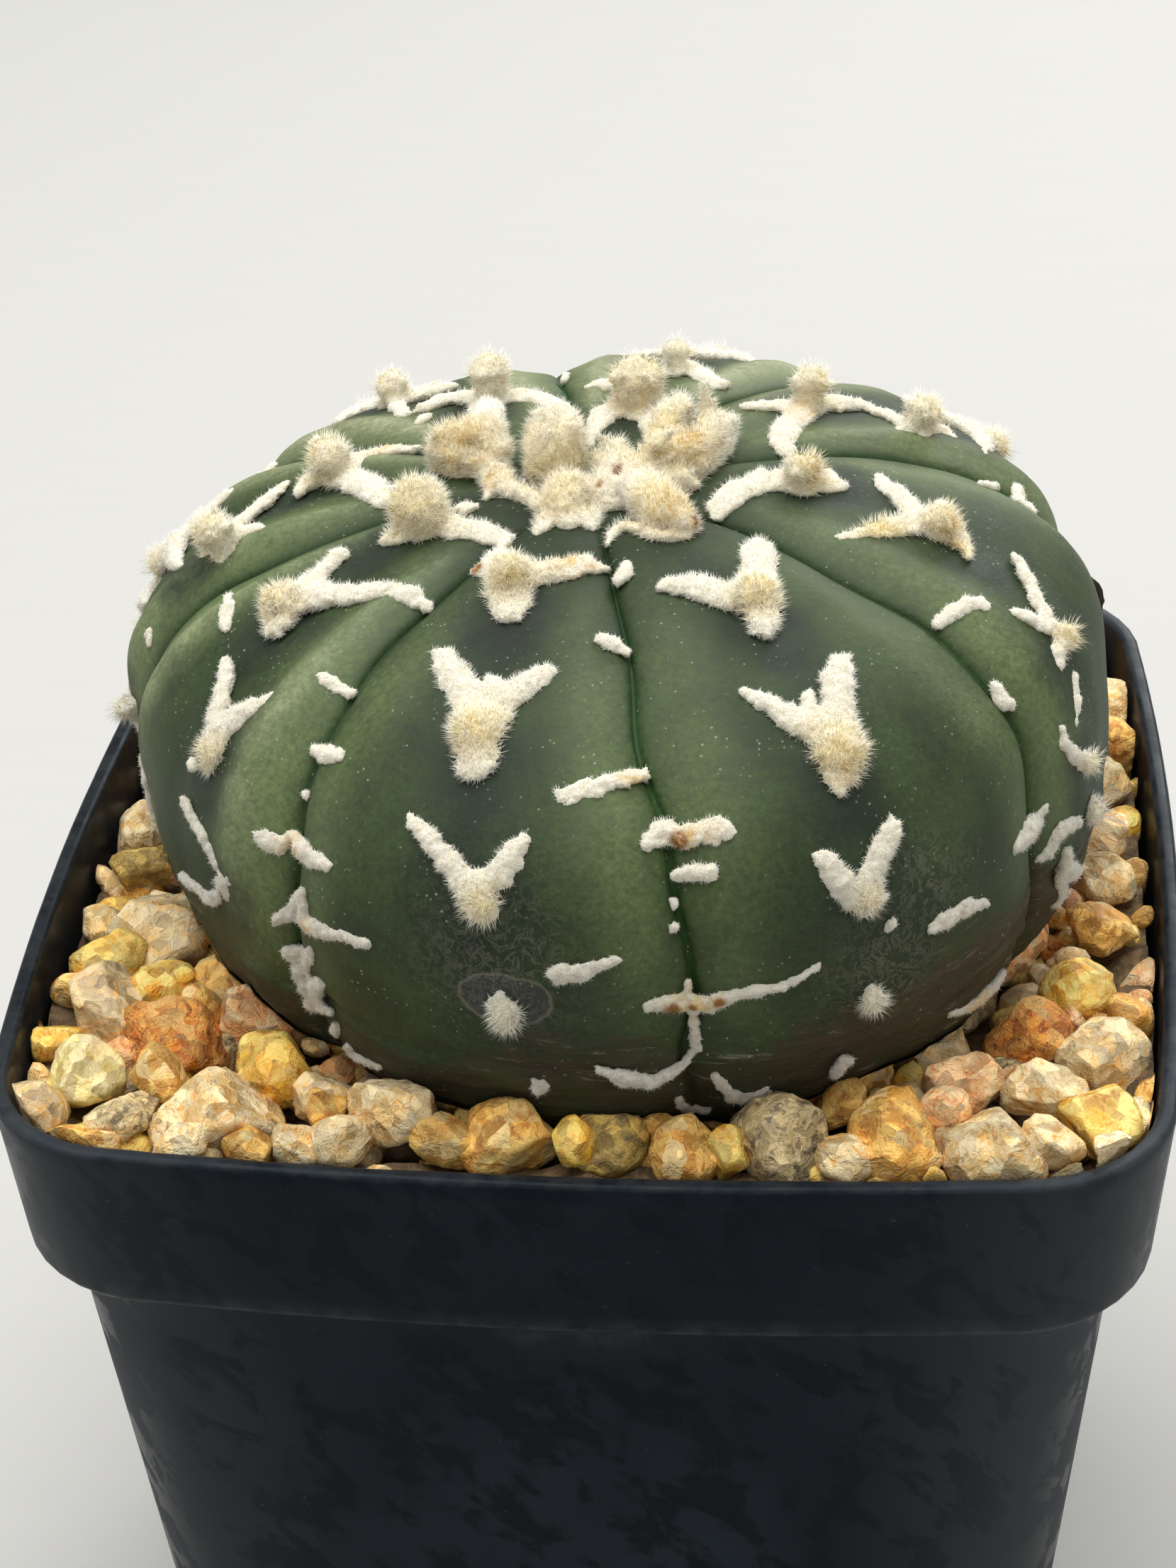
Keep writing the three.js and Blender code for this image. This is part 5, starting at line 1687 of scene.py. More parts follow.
CROWN_TINTS: dict[WoolTone, tuple[Lump, ...]] = {
    WoolTone.CREAM: (
        (150, 3, 2, 3.2), (-110, 5, 1.4, 2), (-47, 12, 2, 2.4), (163, 13, 2.4, 2.6), (12, 8, 2.6, 3.4),
    ),
    WoolTone.TAN: (
        # The tan lump at azimuth -178 is painted shade on the wool.
        (-47, 14.5, 2.2, 1.7), (163, 13, 2.6, 1.7), (170, 10.5, 1.9, 0.9), (-178, 9.5, 1.2, 0.9),
        (139, 5, 2.6, 1.2), (4, 10, 3, 1.4), (28, 14, 3.8, 0.9), (-116, 7.5, 1, 0.8),
    ),
    WoolTone.BROWN: (
        (159, 2.5, 4.4, 0.55), (-44, 17, 1.2, 0.5), (124, 5.5, 5, 0.5), (-25, 3.5, 2.4, 0.42),
        (-62, 3.5, 1.8, 0.36),
    ),
}


@dataclass
class CrownWool:
    """The cream tufts on the growing point, felted together."""

    voxel: float = 0.18
    tufts: tuple[Tuft, ...] = tuple(Tuft(*row) for row in (
        ((((162, 17, 1.5, 0.85), (165.5, 14.5, 1.6, 1), (164.5, 12.5, 1.4, 1.05), (170, 10, 1, 0.9),
         (-176, 8.5, 0.5, 0.8), (-163, 6.5, 0.4, 0.7), (-136.5, 6, 0.3, 0.65), (-118, 6.5, 0.2, 0.5)),
         ((172, 10.5, 0.9, 0.65), (-176, 10, 0.4, 0.5), (-167.5, 10.5, 0.2, 0.25)), ((145, 13.5, 2.2, 0.95),
         (135, 15.5, 1.8, 0.9), (127, 20.5, 1, 0.75))),),
        ((((162, 16, 2.5, 0.9), (160, 13.5, 2.5, 1.1), (155, 12, 2.7, 1.2), (159, 10.5, 1.8, 1.1)),), 9),
        ((((-134.5, 3, 0.8, 1.3), (-119.5, 5, 0.6, 1), (-113, 8.5, 0.3, 0.75), (-111.5, 11, 0.1, 0.4)),
         ((-119.5, 3, 0.8, 1.15), (-92.5, 6.5, 0.4, 0.8), (-84.5, 8.5, 0.2, 0.5), (-81.5, 9.5, 0.1, 0.25)),
         ((-105, 7.5, 0.3, 0.85), (-96, 8.5, 0.2, 0.75)), ((147.5, 3.5, 0.8, 0.95), (-167.5, 2, 0.8, 1.05)),
         ((-104, 2, 0.8, 0.9), (-65.5, 3.5, 0.8, 0.95), (-40.5, 4, 1, 1), (-39, 6, 1.2, 0.9)),
         ((-76, 4, 0.4, 0.7), (-76.5, 6.5, 0.2, 0.4), (-78.5, 8.5, 0.1, 0.25)), ((-62, 5, 0.4, 0.7),
         (-49.5, 6, 0.4, 0.55))),),
        ((((-108, 4.5, 1.7, 1.3), (-106, 6.5, 0.8, 1.3)),), 7),
        ((((126, 4.5, 4.6, 0.9), (134, 3.5, 3.9, 1.5), (143, 3.5, 2.6, 1.75), (147, 3.5, 1.2, 1.4)),), 6),
        ((((162.5, 5.5, 1, 0.65), (142.5, 6.5, 2.4, 0.8), (130.5, 7.5, 3.6, 0.7), (128.5, 6.5, 4.4, 0.4),
         (123.5, 5.5, 4.7, 0.25)), ((-174.5, 3.5, 1.4, 0.3), (-176, 3.5, 2, 0.2))),),
        ((((-39.5, 3, 1.2, 1.2), (15.5, 2, 1.4, 1.1), (45.5, 2.5, 1.8, 0.8), (58.5, 3, 2.5, 0.35),
         (63.5, 3.5, 3, 0.2)), ((-2.5, 3, 1.6, 0.95), (29.5, 4, 1.8, 0.7), (52.5, 5, 2, 0.4),
         (58.5, 5.5, 2.2, 0.2))), 3),
        ((((-30.5, 6.5, 1.4, 1.2), (-45.5, 10, 1.5, 1.45), (-48.5, 13.5, 1.2, 1.35), (-47, 16, 0.8, 0.85)),),
         9),
        ((((-47, 16, 0.6, 0.8), (-44.5, 16.5, 0.4, 0.45)), ((-58.5, 14, 0.2, 0.4), (-61.5, 12.5, 0.2, 0.5),
         (-65, 11, 0.2, 0.5), (-71.5, 11.5, 0.1, 0.4), (-76, 13.5, 0.1, 0.25)), ((-60.5, 14, 0.2, 0.35),
         (-56, 15.5, 0.2, 0.45), (-52.5, 16.5, 0.2, 0.45), (-47.5, 17, 0.2, 0.35))),),
        ((((-9.5, 5, 1.5, 1.2), (-3, 6.5, 1.5, 1.2), (-7.5, 8.5, 1.1, 1.1), (-12.5, 10.5, 0.6, 0.75),
         (-11.5, 11.5, 0.2, 0.45)), ((4.5, 7, 1.9, 0.8), (2.5, 9, 1.9, 1.15), (5, 11, 1.9, 1.15),
         (17, 13, 1.8, 1), (25.5, 15.5, 1.7, 0.8), (28, 17, 1.5, 0.45)), ((0.5, 11.5, 1, 0.75),
         (15.5, 13.5, 1, 0.7), (20.5, 15, 1, 0.6)), ((4.5, 8.5, 2.2, 0.9), (21.5, 8.5, 2.6, 0.9),
         (31.5, 10, 3, 0.95), (36.5, 12, 3, 0.9), (38.5, 12.5, 3.2, 0.55))), 4),
        ((((20.5, 13.5, 2.2, 0.9), (26.5, 14, 3, 0.55), (27.5, 14, 4, 0.32), (28.5, 14, 4.7, 0.2)),
         ((-2.5, 7.5, 3, 0.25), (-11, 8.5, 3.2, 0.35), (-8.5, 9.5, 3.6, 0.25), (-8, 10, 4, 0.2))),),
    ))

    def build(self, skin: BVHTree) -> list[Object]:
        """Builds the felt of the tufts and its longer fibres.

        Args:
            skin: Search tree of the plant's skin.

        Returns:
            Both pieces.
        """
        core = WoolCore(voxel=self.voxel, seed=31, unevenness=0.14)
        for tuft in self.tufts:
            for strand in tuft.strands:
                core.strand(strand, tuft.locks)
        core.tint(CROWN_TINTS)
        mesh = core.mesh("crown_tufts")
        core.mark(mesh)
        body = finish_object("crown_tufts", mesh, WoolFinish("crown_wool").material())
        fibre = WoolFinish("crown_fibre", fibres=True).material()
        coat = HairCoat(per_square_mm=72, length=(0.24, 0.66), fluff=1.1, lock=0.8, thickness=0.018,
                        spread=0.65, seed=52)
        return [body, coat.build("crown_hairs", body, skin, fibre)]


# Pot, soil, gravel and bark


@dataclass(frozen=True)
class PotForm:
    """Form of the square pot with its round corners, bowed sides and deep rim band."""

    height: float = 72.0
    rim_half: float = 38.0
    corner: float = 10.0
    band_height: float = 12.8
    band_taper: float = 0.079
    step: float = 2.0
    body_taper: float = 0.0874
    bow: float = 1.27
    wall: float = 1.25
    base: float = 1.6
    base_rounding: float = 1.2
    lip_rounding: float = 0.7
    top_rounding: float = 0.45
    hole_radius: float = 3.5
    hole_offset: float = 15.0

    @property
    def band_bottom(self) -> float:
        """Height of the band's lower lip."""
        return self.height - self.band_height

    def band_half(self, height: float) -> float:
        """Half width of the rim band at a height."""
        return self.rim_half - self.band_taper * (self.height - height)

    def body_half(self, height: float) -> float:
        """Half width of the body below the band at a height."""
        return self.band_half(self.band_bottom) - self.step - self.body_taper * (self.band_bottom - height)

    def inner_half(self, height: float) -> float:
        """Half width of the inside at a height."""
        outside = self.band_half(height) if height >= self.band_bottom + self.wall else self.body_half(height)
        return outside - self.wall

    def section(self, half: float, corner: float, height: float, sides: int, corners: int) -> list[Vector]:
        """Lays out one level section.

        Args:
            half: Half its width.
            corner: Radius of its corners.
            height: Its height.
            sides: Number of steps along each side.
            corners: Number of steps round each corner.

        Returns:
            Its points counter-clockwise, in metres.
        """
        straight = half - corner
        ring = []
        for side in range(4):
            turn = Matrix.Rotation(side * math.pi / 2, 3, "Z")
            for step in range(1, sides):
                along = straight * math.sin(math.pi / 2 * (2 * step / sides - 1))
                ring.append(turn @ Vector((half + self.bow * (1 - (along / straight) ** 2), along, height)))
            for step in range(corners + 1):
                angle = math.pi / 2 * step / corners
                ring.append(turn @ Vector((straight + corner * math.cos(angle),
                                           straight + corner * math.sin(angle), height)))
        return [p * MM for p in ring]

    def held_inside(self, points: Array, clearance: float) -> Array:
        """Pulls points inside the wall.

        Args:
            points: Rows of three coordinates, in millimetres.
            clearance: Space that is left to the wall.

        Returns:
            The points in their new places.
        """
        half = np.array([self.inner_half(max(z, 0.0)) for z in points[:, 2]]) - clearance
        corner = self.corner - self.wall - clearance
        straight = half - corner
        result = points.copy()
        for axis, other in ((0, 1), (1, 0)):
            bow = self.bow * np.clip(1 - (result[:, other] / straight) ** 2, 0, 1)
            limit = half + bow
            result[:, axis] = np.clip(result[:, axis], -limit, limit)
        past = np.maximum(np.abs(result[:, :2]) - straight[:, None], 0.0)
        reach = np.hypot(past[:, 0], past[:, 1])
        outside = (past > 0).all(axis=1) & (reach > corner)
        scale = np.where(outside, corner / np.maximum(reach, 1e-9), 1.0)
        corner_point = np.sign(result[:, :2]) * (straight[:, None] + past * scale[:, None])
        result[:, :2] = np.where(outside[:, None], corner_point, result[:, :2])
        return result


POT = PotForm()


@dataclass
class Pot:
    """The thin black pot, moulded in one piece."""

    side_steps: int = 22
    corner_steps: int = 9
    rounding_steps: int = 4
    band_rows: int = 10
    wall_rows: int = 14
    least_corner: float = 0.3
    hole_sides: int = 32
    flash: float = 0.10
    # Width of the painted highlight along the band's lower lip.
    lip_highlight: float = 0.8
    lip_level: float = 59.0

    def profile(self) -> list[Spot]:
        """Lists the rings of the pot, from the base up and in.

        Returns:
            The half width, the corner radius and the height of each ring.
        """
        rows: list[Spot] = []

        def quarter(half: float, height: float, radius: float, start: float) -> None:
            """Adds a quarter round.

            Args:
                half: Half width of its middle.
                height: Height of its middle.
                radius: Its radius.
                start: Angle that it starts from, in degrees.
            """
            for i in range(self.rounding_steps + 1):
                angle = math.radians(start + 90 * i / self.rounding_steps)
                x = half + radius * math.cos(angle)
                rows.append((x, POT.corner + (x - half) - radius, height + radius * math.sin(angle)))

        band, base, lip, top = POT.band_bottom, POT.base_rounding, POT.lip_rounding, POT.top_rounding
        quarter(POT.body_half(base) - base, base, base, -90)
        for i in range(1, self.wall_rows):
            height = base + (band - 0.5 - base) * i / self.wall_rows
            rows.append((POT.body_half(height), POT.corner, height))
        rows.append((POT.body_half(band - 0.5), POT.corner, band - 0.5))
        for out, down in ((0.16, 0.12), (0.55, 0.0)):
            rows.append((POT.body_half(band) + out, POT.corner, band - down))
        quarter(POT.band_half(band + lip) - lip, band + lip, lip, -90)
        for i in range(1, self.band_rows):
            height = band + lip + (POT.height - top - band - lip) * i / self.band_rows
            rows.append((POT.band_half(height), POT.corner, height))
        quarter(POT.rim_half - top, POT.height - top, top, 0)
        inner = POT.corner - POT.wall
        for i in range(self.rounding_steps + 1):
            angle = math.radians(90 + 90 * i / self.rounding_steps)
            x = POT.rim_half - POT.wall + top + top * math.cos(angle)
            rows.append((x, inner + top * (1 + math.cos(angle)), POT.height - top + top * math.sin(angle)))
        ledge = band + POT.wall
        for i in range(1, self.band_rows + 1):
            height = POT.height - top + (ledge - POT.height + top) * i / self.band_rows
            rows.append((POT.band_half(height) - POT.wall, inner, height))
        for i in range(self.wall_rows + 1):
            height = ledge + (POT.base - ledge) * i / self.wall_rows
            rows.append((POT.body_half(height) - POT.wall, inner, height))
        return rows

    def build(self) -> Object:
        """Builds the pot with its drain holes.

        Returns:
            The piece.
        """
        count = 4 * (self.side_steps + self.corner_steps)
        bm = bmesh.new()
        ring = bmesh.ops.create_circle(bm, cap_ends=False, segments=count, radius=1.0)["verts"]
        edges = list(bm.edges)
        bmesh.ops.holes_fill(bm, edges=edges, sides=0)
        for number, row in enumerate(self.profile()):
            if number:
                ring, edges = next_ring(bm, edges)
            ring = self.in_order(ring)
            for vert, point in zip(ring, self.section_from_start(*row)):
                vert.co = point
        bmesh.ops.holes_fill(bm, edges=edges, sides=0)
        mesh = applied(mesh_from(bm, "pot_shell"), self.bore)
        self.wear(mesh)
        return finish_object("pot_shell", mesh, PlasticFinish().material())

    def section_from_start(self, half: float, corner: float, height: float) -> list[Vector]:
        """Returns a section in the order of the ring's angle round the axis."""
        ring = POT.section(half, max(corner, self.least_corner), height, self.side_steps, self.corner_steps)
        return sorted(ring, key=lambda p: math.atan2(p.y, p.x) % math.tau)

    @staticmethod
    def in_order(ring: Iterable[bmesh.types.BMVert]) -> list[bmesh.types.BMVert]:
        """Returns the ring's points in the order of their angle round the axis."""
        return sorted(ring, key=lambda v: round(math.atan2(v.co.y, v.co.x) % math.tau, 6) % math.tau)

    def bore(self, carrier: Object) -> None:
        """Cuts the four drain holes.

        Args:
            carrier: Object that gets the cut as a modifier.
        """
        bm = bmesh.new()
        radius, offset = POT.hole_radius * MM, POT.hole_offset * MM
        for x, y in ((1, 1), (-1, 1), (-1, -1), (1, -1)):
            place = Matrix.Translation((x * offset, y * offset, 0))
            bmesh.ops.create_cone(bm, cap_ends=True, segments=self.hole_sides, radius1=radius, radius2=radius,
                                  depth=4 * POT.base * MM, matrix=place)
        drill = bpy.data.objects.new("drill", mesh_from(bm, "drill"))
        bpy.context.scene.collection.objects.link(drill)
        drill.hide_render = True
        cut = carrier.modifiers.new("holes", "BOOLEAN")
        cut.operation, cut.object, cut.solver = "DIFFERENCE", drill, "EXACT"

    def wear(self, mesh: Mesh) -> None:
        """Gives the rim its rough flash and paints dust on the edges with a painted highlight along the
        band's lower lip, the inside, the band, and the corners that get a painted reflection.

        Args:
            mesh: The pot.
        """
        points = points_of(mesh) / MM
        height = points[:, 2]
        reach = np.abs(points[:, :2]).max(axis=1)
        rim = smoothstep(POT.height - 0.6, POT.height, height)
        height += rim * self.flash * np.minimum(roughness_at(points, 1.6, 3), 0.2)
        set_points(mesh, points * MM)
        stands_out = reach > POT.body_half(self.lip_level) + 1.2
        # Painted highlight along the band's lower lip, with dust on the rim and at the foot.
        lip = np.exp(-(((height - POT.band_bottom) / self.lip_highlight) ** 2)) * stands_out
        top = smoothstep(POT.height - 0.5, POT.height - 0.1, height)
        foot = 1 - smoothstep(0.5, 2.5, height)
        paint(mesh, "edge", np.clip(0.8 * lip + 0.35 * top + 0.5 * foot, 0, 1))
        inner = np.array([POT.inner_half(max(z, 2.0)) for z in height])
        corner = np.hypot(*np.maximum(np.abs(points[:, :2]) - (inner - POT.corner)[:, None], 0).T)
        within = (height > POT.base - 0.1) & (corner < POT.corner + 0.3)
        within &= reach < inner + POT.bow + 0.2
        paint(mesh, "inside", within * (1 - 0.3 * top))
        paint(mesh, "band", smoothstep(POT.band_bottom - 1, POT.band_bottom + 1, height))
        # The corners carry a painted reflection.
        paint(mesh, "corner", smoothstep(0.55, 1.0, np.abs(points[:, :2]).min(axis=1) / (inner - 3.0)))


class StoneLook(Enum):
    """Kinds of stone in the top dressing."""

    OCHRE = StoneFinish("stone_ochre", (0.66, 0.34, 0.060), (0.90, 0.59, 0.17), (0.50, 0.19, 0.028),
                        (0.95, 0.80, 0.45))
    CREAM = StoneFinish("stone_cream", (0.86, 0.64, 0.30), (0.95, 0.83, 0.54), (0.84, 0.44, 0.090),
                        (0.96, 0.88, 0.66), speck_share=0.14)
    QUARTZ = StoneFinish("stone_quartz", (0.46, 0.38, 0.24), (0.72, 0.58, 0.35), (0.74, 0.43, 0.11),
                         rough=0.32, clear=0.3, pits=0.2)
    YELLOW = StoneFinish("stone_yellow", (0.80, 0.48, 0.060), (0.93, 0.70, 0.20), (0.68, 0.27, 0.028),
                         (0.95, 0.82, 0.30), rough=0.38, clear=0.2, pits=0.3)
    RUST = StoneFinish("stone_rust", (0.70, 0.23, 0.030), (0.87, 0.42, 0.080), (0.32, 0.080, 0.018),
                       (0.92, 0.62, 0.24), patch_size=1.8, rough=0.7, pits=0.6)
    GRANITE = StoneFinish("stone_granite", (0.52, 0.43, 0.24), (0.72, 0.61, 0.36), (0.40, 0.34, 0.20),
                          patch_size=1.6, crystal=0.8, speck_share=0.5)
    PINK = StoneFinish("stone_pink", (0.84, 0.45, 0.19), (0.93, 0.69, 0.42), (0.74, 0.27, 0.075))
    PALE = StoneFinish("stone_pale", (0.74, 0.67, 0.29), (0.88, 0.81, 0.47), (0.70, 0.49, 0.11),
                       rough=0.34, clear=0.25, pits=0.2)
    OLIVE = StoneFinish("stone_olive", (0.36, 0.27, 0.085), (0.66, 0.48, 0.13), (0.19, 0.14, 0.055),
                        (0.92, 0.70, 0.18))


@dataclass(frozen=True)
class Stone:
    """A stone of the top dressing: place on the heap, largest width, kind and height above its neighbours."""

    x: float
    y: float
    size: float
    look: StoneLook
    lift: float = 0.0


OCHRE, CREAM, QUARTZ, YELLOW, RUST, GRANITE, PINK, PALE, OLIVE = StoneLook

FRONT_STONES: tuple[Stone, ...] = tuple(Stone(*row) for row in (
    (-30.6, -9.7, 8.3, CREAM), (-34, -1.5, 4.5, OLIVE), (-33.6, -13.4, 6, YELLOW),
    (-32.4, -19.4, 6.6, QUARTZ), (-27.6, -22.6, 8, RUST), (-24.6, -15.8, 6.2, OCHRE),
    (-20, -26, 6.6, YELLOW), (-32.6, -27, 5.8, PALE), (-28.6, -32, 5, GRANITE), (-22.6, -31.6, 8.6, CREAM),
    (-16.2, -30, 4.4, QUARTZ), (-16.6, -35.2, 4.8, CREAM), (-10.8, -32.6, 6.4, CREAM, 1.2),
    (-3.4, -34.2, 6.8, OCHRE, 0.4), (2.4, -34.4, 5.6, OLIVE), (7.6, -34.8, 5.4, OCHRE),
    (13.4, -34, 7.6, GRANITE), (20.6, -32.8, 7.6, OCHRE), (18.4, -25.6, 4.2, OCHRE),
    (26.4, -33.4, 7.4, CREAM), (24.6, -27.2, 5, PINK), (29.6, -27.8, 5.4, CREAM), (28.8, -21.4, 6, RUST),
    (33.6, -23.4, 6, CREAM), (33, -30, 6.2, YELLOW), (32.4, -15.6, 5.4, YELLOW), (34, -8.2, 5, OCHRE),
    (34.2, -2, 4.8, CREAM), (34.4, 4.2, 4.4, PINK),
))

FILLING_STONES: tuple[Stone, ...] = tuple(Stone(*row) for row in (
    (-7.2, -35, 4.4, OCHRE, 0.7), (-14.2, -35.2, 4.4, CREAM, 0.8), (-19.6, -35.4, 3.4, OCHRE, 0.3),
    (-24, -35.4, 4.2, CREAM, 0.6), (-15.6, -31.6, 4, OCHRE, 0.6), (-5.2, -31.4, 4.2, OLIVE, 0),
    (0.6, -35.6, 3.6, YELLOW, 0.9), (5.2, -32.4, 3.4, OCHRE, 0.2), (10.2, -35.6, 3.4, YELLOW, 0.4),
    (17.2, -30, 3.6, OCHRE, 0.5), (17.4, -35.4, 3.4, CREAM, 0.3), (23.4, -30.4, 3.6, PINK, 0.6),
    (30, -33.6, 3.8, CREAM, 0.6), (-27.4, -27.6, 4.4, OCHRE, 0.8), (-29.4, -16.6, 4.2, YELLOW, 0.8),
    (-25.8, -19.6, 3.8, OCHRE, 0.8), (-35.2, -17, 3.4, OCHRE, 0.2), (-35.4, -8.6, 3.6, CREAM, 0.2),
    (-35.2, -23, 3.4, YELLOW, 0), (35.4, -18.8, 3.6, OCHRE, 0.2),
))


@dataclass
class Gravel:
    """The top dressing: listed stones in front, more by rule, small ones in their gaps, and the bed."""

    seed: int = 77
    crown_draws: int = 378
    free_radius: float = 25.0
    sink: float = 0.22
    fullness: float = 1.08
    tries: int = 2600
    spacing: float = 0.4
    wall_space: float = 1.0
    detail: int = 4
    filling_sink: float = 0.6
    filling_fullness: float = 1.15
    gap_sizes: tuple[tuple[float, int, int], ...] = (
        (4.4, 500, 3), (3.5, 900, 3), (2.8, 1500, 2), (2.2, 2200, 2),
    )
    gap_spacing: float = 0.44
    reach: float = 37.3
    wall_strip: float = 35.2
    lower_stones: int = 420
    lower_reach: float = 36.0
    lower_sizes: Place = (2.6, 4.6)
    lower_depths: Place = (2.4, 4.0)
    clearance: float = 0.3
    skin_reach: float = 40.0
    skin_space: float = 0.25
    face_depths: Place = (0.60, 0.90)
    worn: float = 0.07
    fine_points: int = 200
    bed_half: float = 37.0
    bed_steps: int = 48
    bed_bottom: float = 62.7
    bed_top: float = 67.2
    bed_depth: float = 2.3
    bed_bank: Place = (31.0, 36.0)
    bed_hole: float = 24.0
    looks: tuple[tuple[StoneLook, float], ...] = (
        (OCHRE, 0.24), (CREAM, 0.24), (YELLOW, 0.16), (QUARTZ, 0.11), (RUST, 0.06), (GRANITE, 0.06),
        (PINK, 0.07), (OLIVE, 0.06),
    )

    def __post_init__(self) -> None:
        """Starts the seeded numbers and the heaps, one for each kind and fineness."""
        self.random = np.random.default_rng(self.seed)
        self.heaps: dict[tuple[StoneLook, int], Repeats] = {}

    def heap(self, x: float, y: float) -> float:
        """Finds the height of the heap's surface.

        Args:
            x: Place from left to right, in millimetres.
            y: Place from front to back, in millimetres.

        Returns:
            The height, in millimetres.
        """
        back = (y + POT.rim_half) / (2 * POT.rim_half)
        left = min(max(-x / POT.rim_half, 0.0), 1.0)
        return POT.height + 1.0 - 3.2 * back - 1.6 * left

    def pick(self) -> StoneLook:
        """Picks the kind of a stone that no view shows one by one."""
        shares = np.array([share for _, share in self.looks])
        return self.looks[int(self.random.choice(len(shares), p=shares / shares.sum()))][0]

    def places(self, stream: NumberStream) -> list[Stone]:
        """Lays out the top layer.

        Args:
            stream: Seeded numbers that it takes its places from.

        Returns:
            The listed stones and as many more as find room.
        """
        stones = list(FRONT_STONES)
        reach = POT.rim_half - POT.wall - self.wall_space
        for _ in range(self.tries):
            x = (2 * stream.take() - 1) * reach
            y = (2 * stream.take() - 1) * reach
            size = 4.8 + 3 * stream.take()
            crowded = any(math.hypot(x - s.x, y - s.y) < self.spacing * (size + s.size) for s in stones)
            if self.from_plant(x, y) >= self.free_radius and not crowded:
                stones.append(Stone(x, y, size, self.pick()))
        return stones

    @staticmethod
    def from_plant(x: float, y: float) -> float:
        """Returns how far a place is from the plant's middle, in millimetres."""
        return math.hypot(x - SKIN.offset[0], y - SKIN.offset[1])

    def build(self, skin: BVHTree) -> list[Object]:
        """Lays all the stones.

        Args:
            skin: Search tree of the plant's skin.

        Returns:
            One piece for each kind of stone, and the bed under them.
        """
        stream = NumberStream(SEED)
        stream.skip(self.crown_draws)
        stones = self.places(stream)
        for stone in stones:
            self.lay(stone.look, self.detail, self.tilted(stone, stream), skin)
        self.fill_gaps(stones, skin)
        LOG.info("gravel: %d stones in the top layer", len(stones))
        self.lay_lower(skin)
        made = []
        for look in StoneLook:
            details = sorted(detail for kind, detail in self.heaps if kind is look)
            if details:
                name = f"gravel_{look.name.lower()}"
                mesh = gathered(name, [self.heaps[(look, detail)] for detail in details])
                made.append(finish_object(name, mesh, look.value.material()))
        return [*made, self.bed()]

    def tilted(self, stone: Stone, stream: NumberStream) -> Matrix:
        """Places a stone of the top layer.

        Args:
            stone: The stone.
            stream: Seeded numbers that it takes its shape and its turn from.

        Returns:
            Its place and shape, in millimetres.
        """
        stream.skip(12)
        depth = 0.72 + 0.2 * stream.take()
        height = 0.62 + 0.2 * stream.take()
        tilt = Matrix.Rotation(0.45 * (2 * stream.take() - 1), 4, "X")
        turn = Matrix.Rotation(math.pi * stream.take(), 4, "Z")
        half = self.fullness * stone.size / 2
        level = self.heap(stone.x, stone.y) - self.sink * stone.size + stone.lift
        place = Matrix.Translation((stone.x, stone.y, level))
        return place @ turn @ tilt @ Matrix.Diagonal((half, depth * half, 1.12 * height * half, 1.0))

    def fill_gaps(self, stones: list[Stone], skin: BVHTree) -> None:
        """Lays ever smaller stones in the gaps of the top layer.

        Args:
            stones: The stones so far, to which the new ones are added.
            skin: Search tree of the plant's skin.
        """
        for stone in FILLING_STONES:
            stones.append(stone)
            level = self.heap(stone.x, stone.y) - self.sink * stone.size - self.filling_sink + stone.lift
            place = self.tumbled(Vector((stone.x, stone.y, level)), self.filling_fullness * stone.size)
            self.lay(stone.look, 3, place, skin)
        at = np.array([(s.x, s.y, s.size) for s in stones])
        for size, tries, detail in self.gap_sizes:
            for x, y in self.random.uniform(-self.reach, self.reach, (tries, 2)):
                if self.from_plant(x, y) < self.free_radius:
                    continue
                if (np.hypot(at[:, 0] - x, at[:, 1] - y) < self.gap_spacing * (size + at[:, 2])).any():
                    continue
                own = size * self.random.uniform(0.92, 1.25)
                at = np.vstack([at, (x, y, own)])
                stones.append(Stone(x, y, own, self.pick()))
                at_wall = max(abs(x), abs(y)) > self.wall_strip
                sunk = self.random.uniform(0.35, 0.75) * own + 0.3 + 0.5 * at_wall
                centre = Vector((x, y, self.heap(x, y) - sunk))
                self.lay(stones[-1].look, detail, self.tumbled(centre, own), skin)

    def lay_lower(self, skin: BVHTree) -> None:
        """Lays a lower layer that shows in the last gaps.

        Args:
            skin: Search tree of the plant's skin.
        """
        for _ in range(self.lower_stones):
            x, y = self.random.uniform(-self.lower_reach, self.lower_reach, 2)
            size = self.random.uniform(*self.lower_sizes)
            if self.from_plant(x, y) > self.free_radius - 1:
                centre = Vector((x, y, self.heap(x, y) - self.random.uniform(*self.lower_depths)))
                self.lay(self.pick(), 2, self.tumbled(centre, size), skin)

    def tumbled(self, centre: Vector, size: float) -> Matrix:
        """Returns the place of a small stone that lies any way round."""
        turn = Matrix.Rotation(self.random.uniform(0, math.tau), 4, Vector(self.random.normal(size=3)))
        return Matrix.Translation(centre) @ turn @ Matrix.Diagonal((0.5 * size, 0.4 * size, 0.35 * size, 1.0))

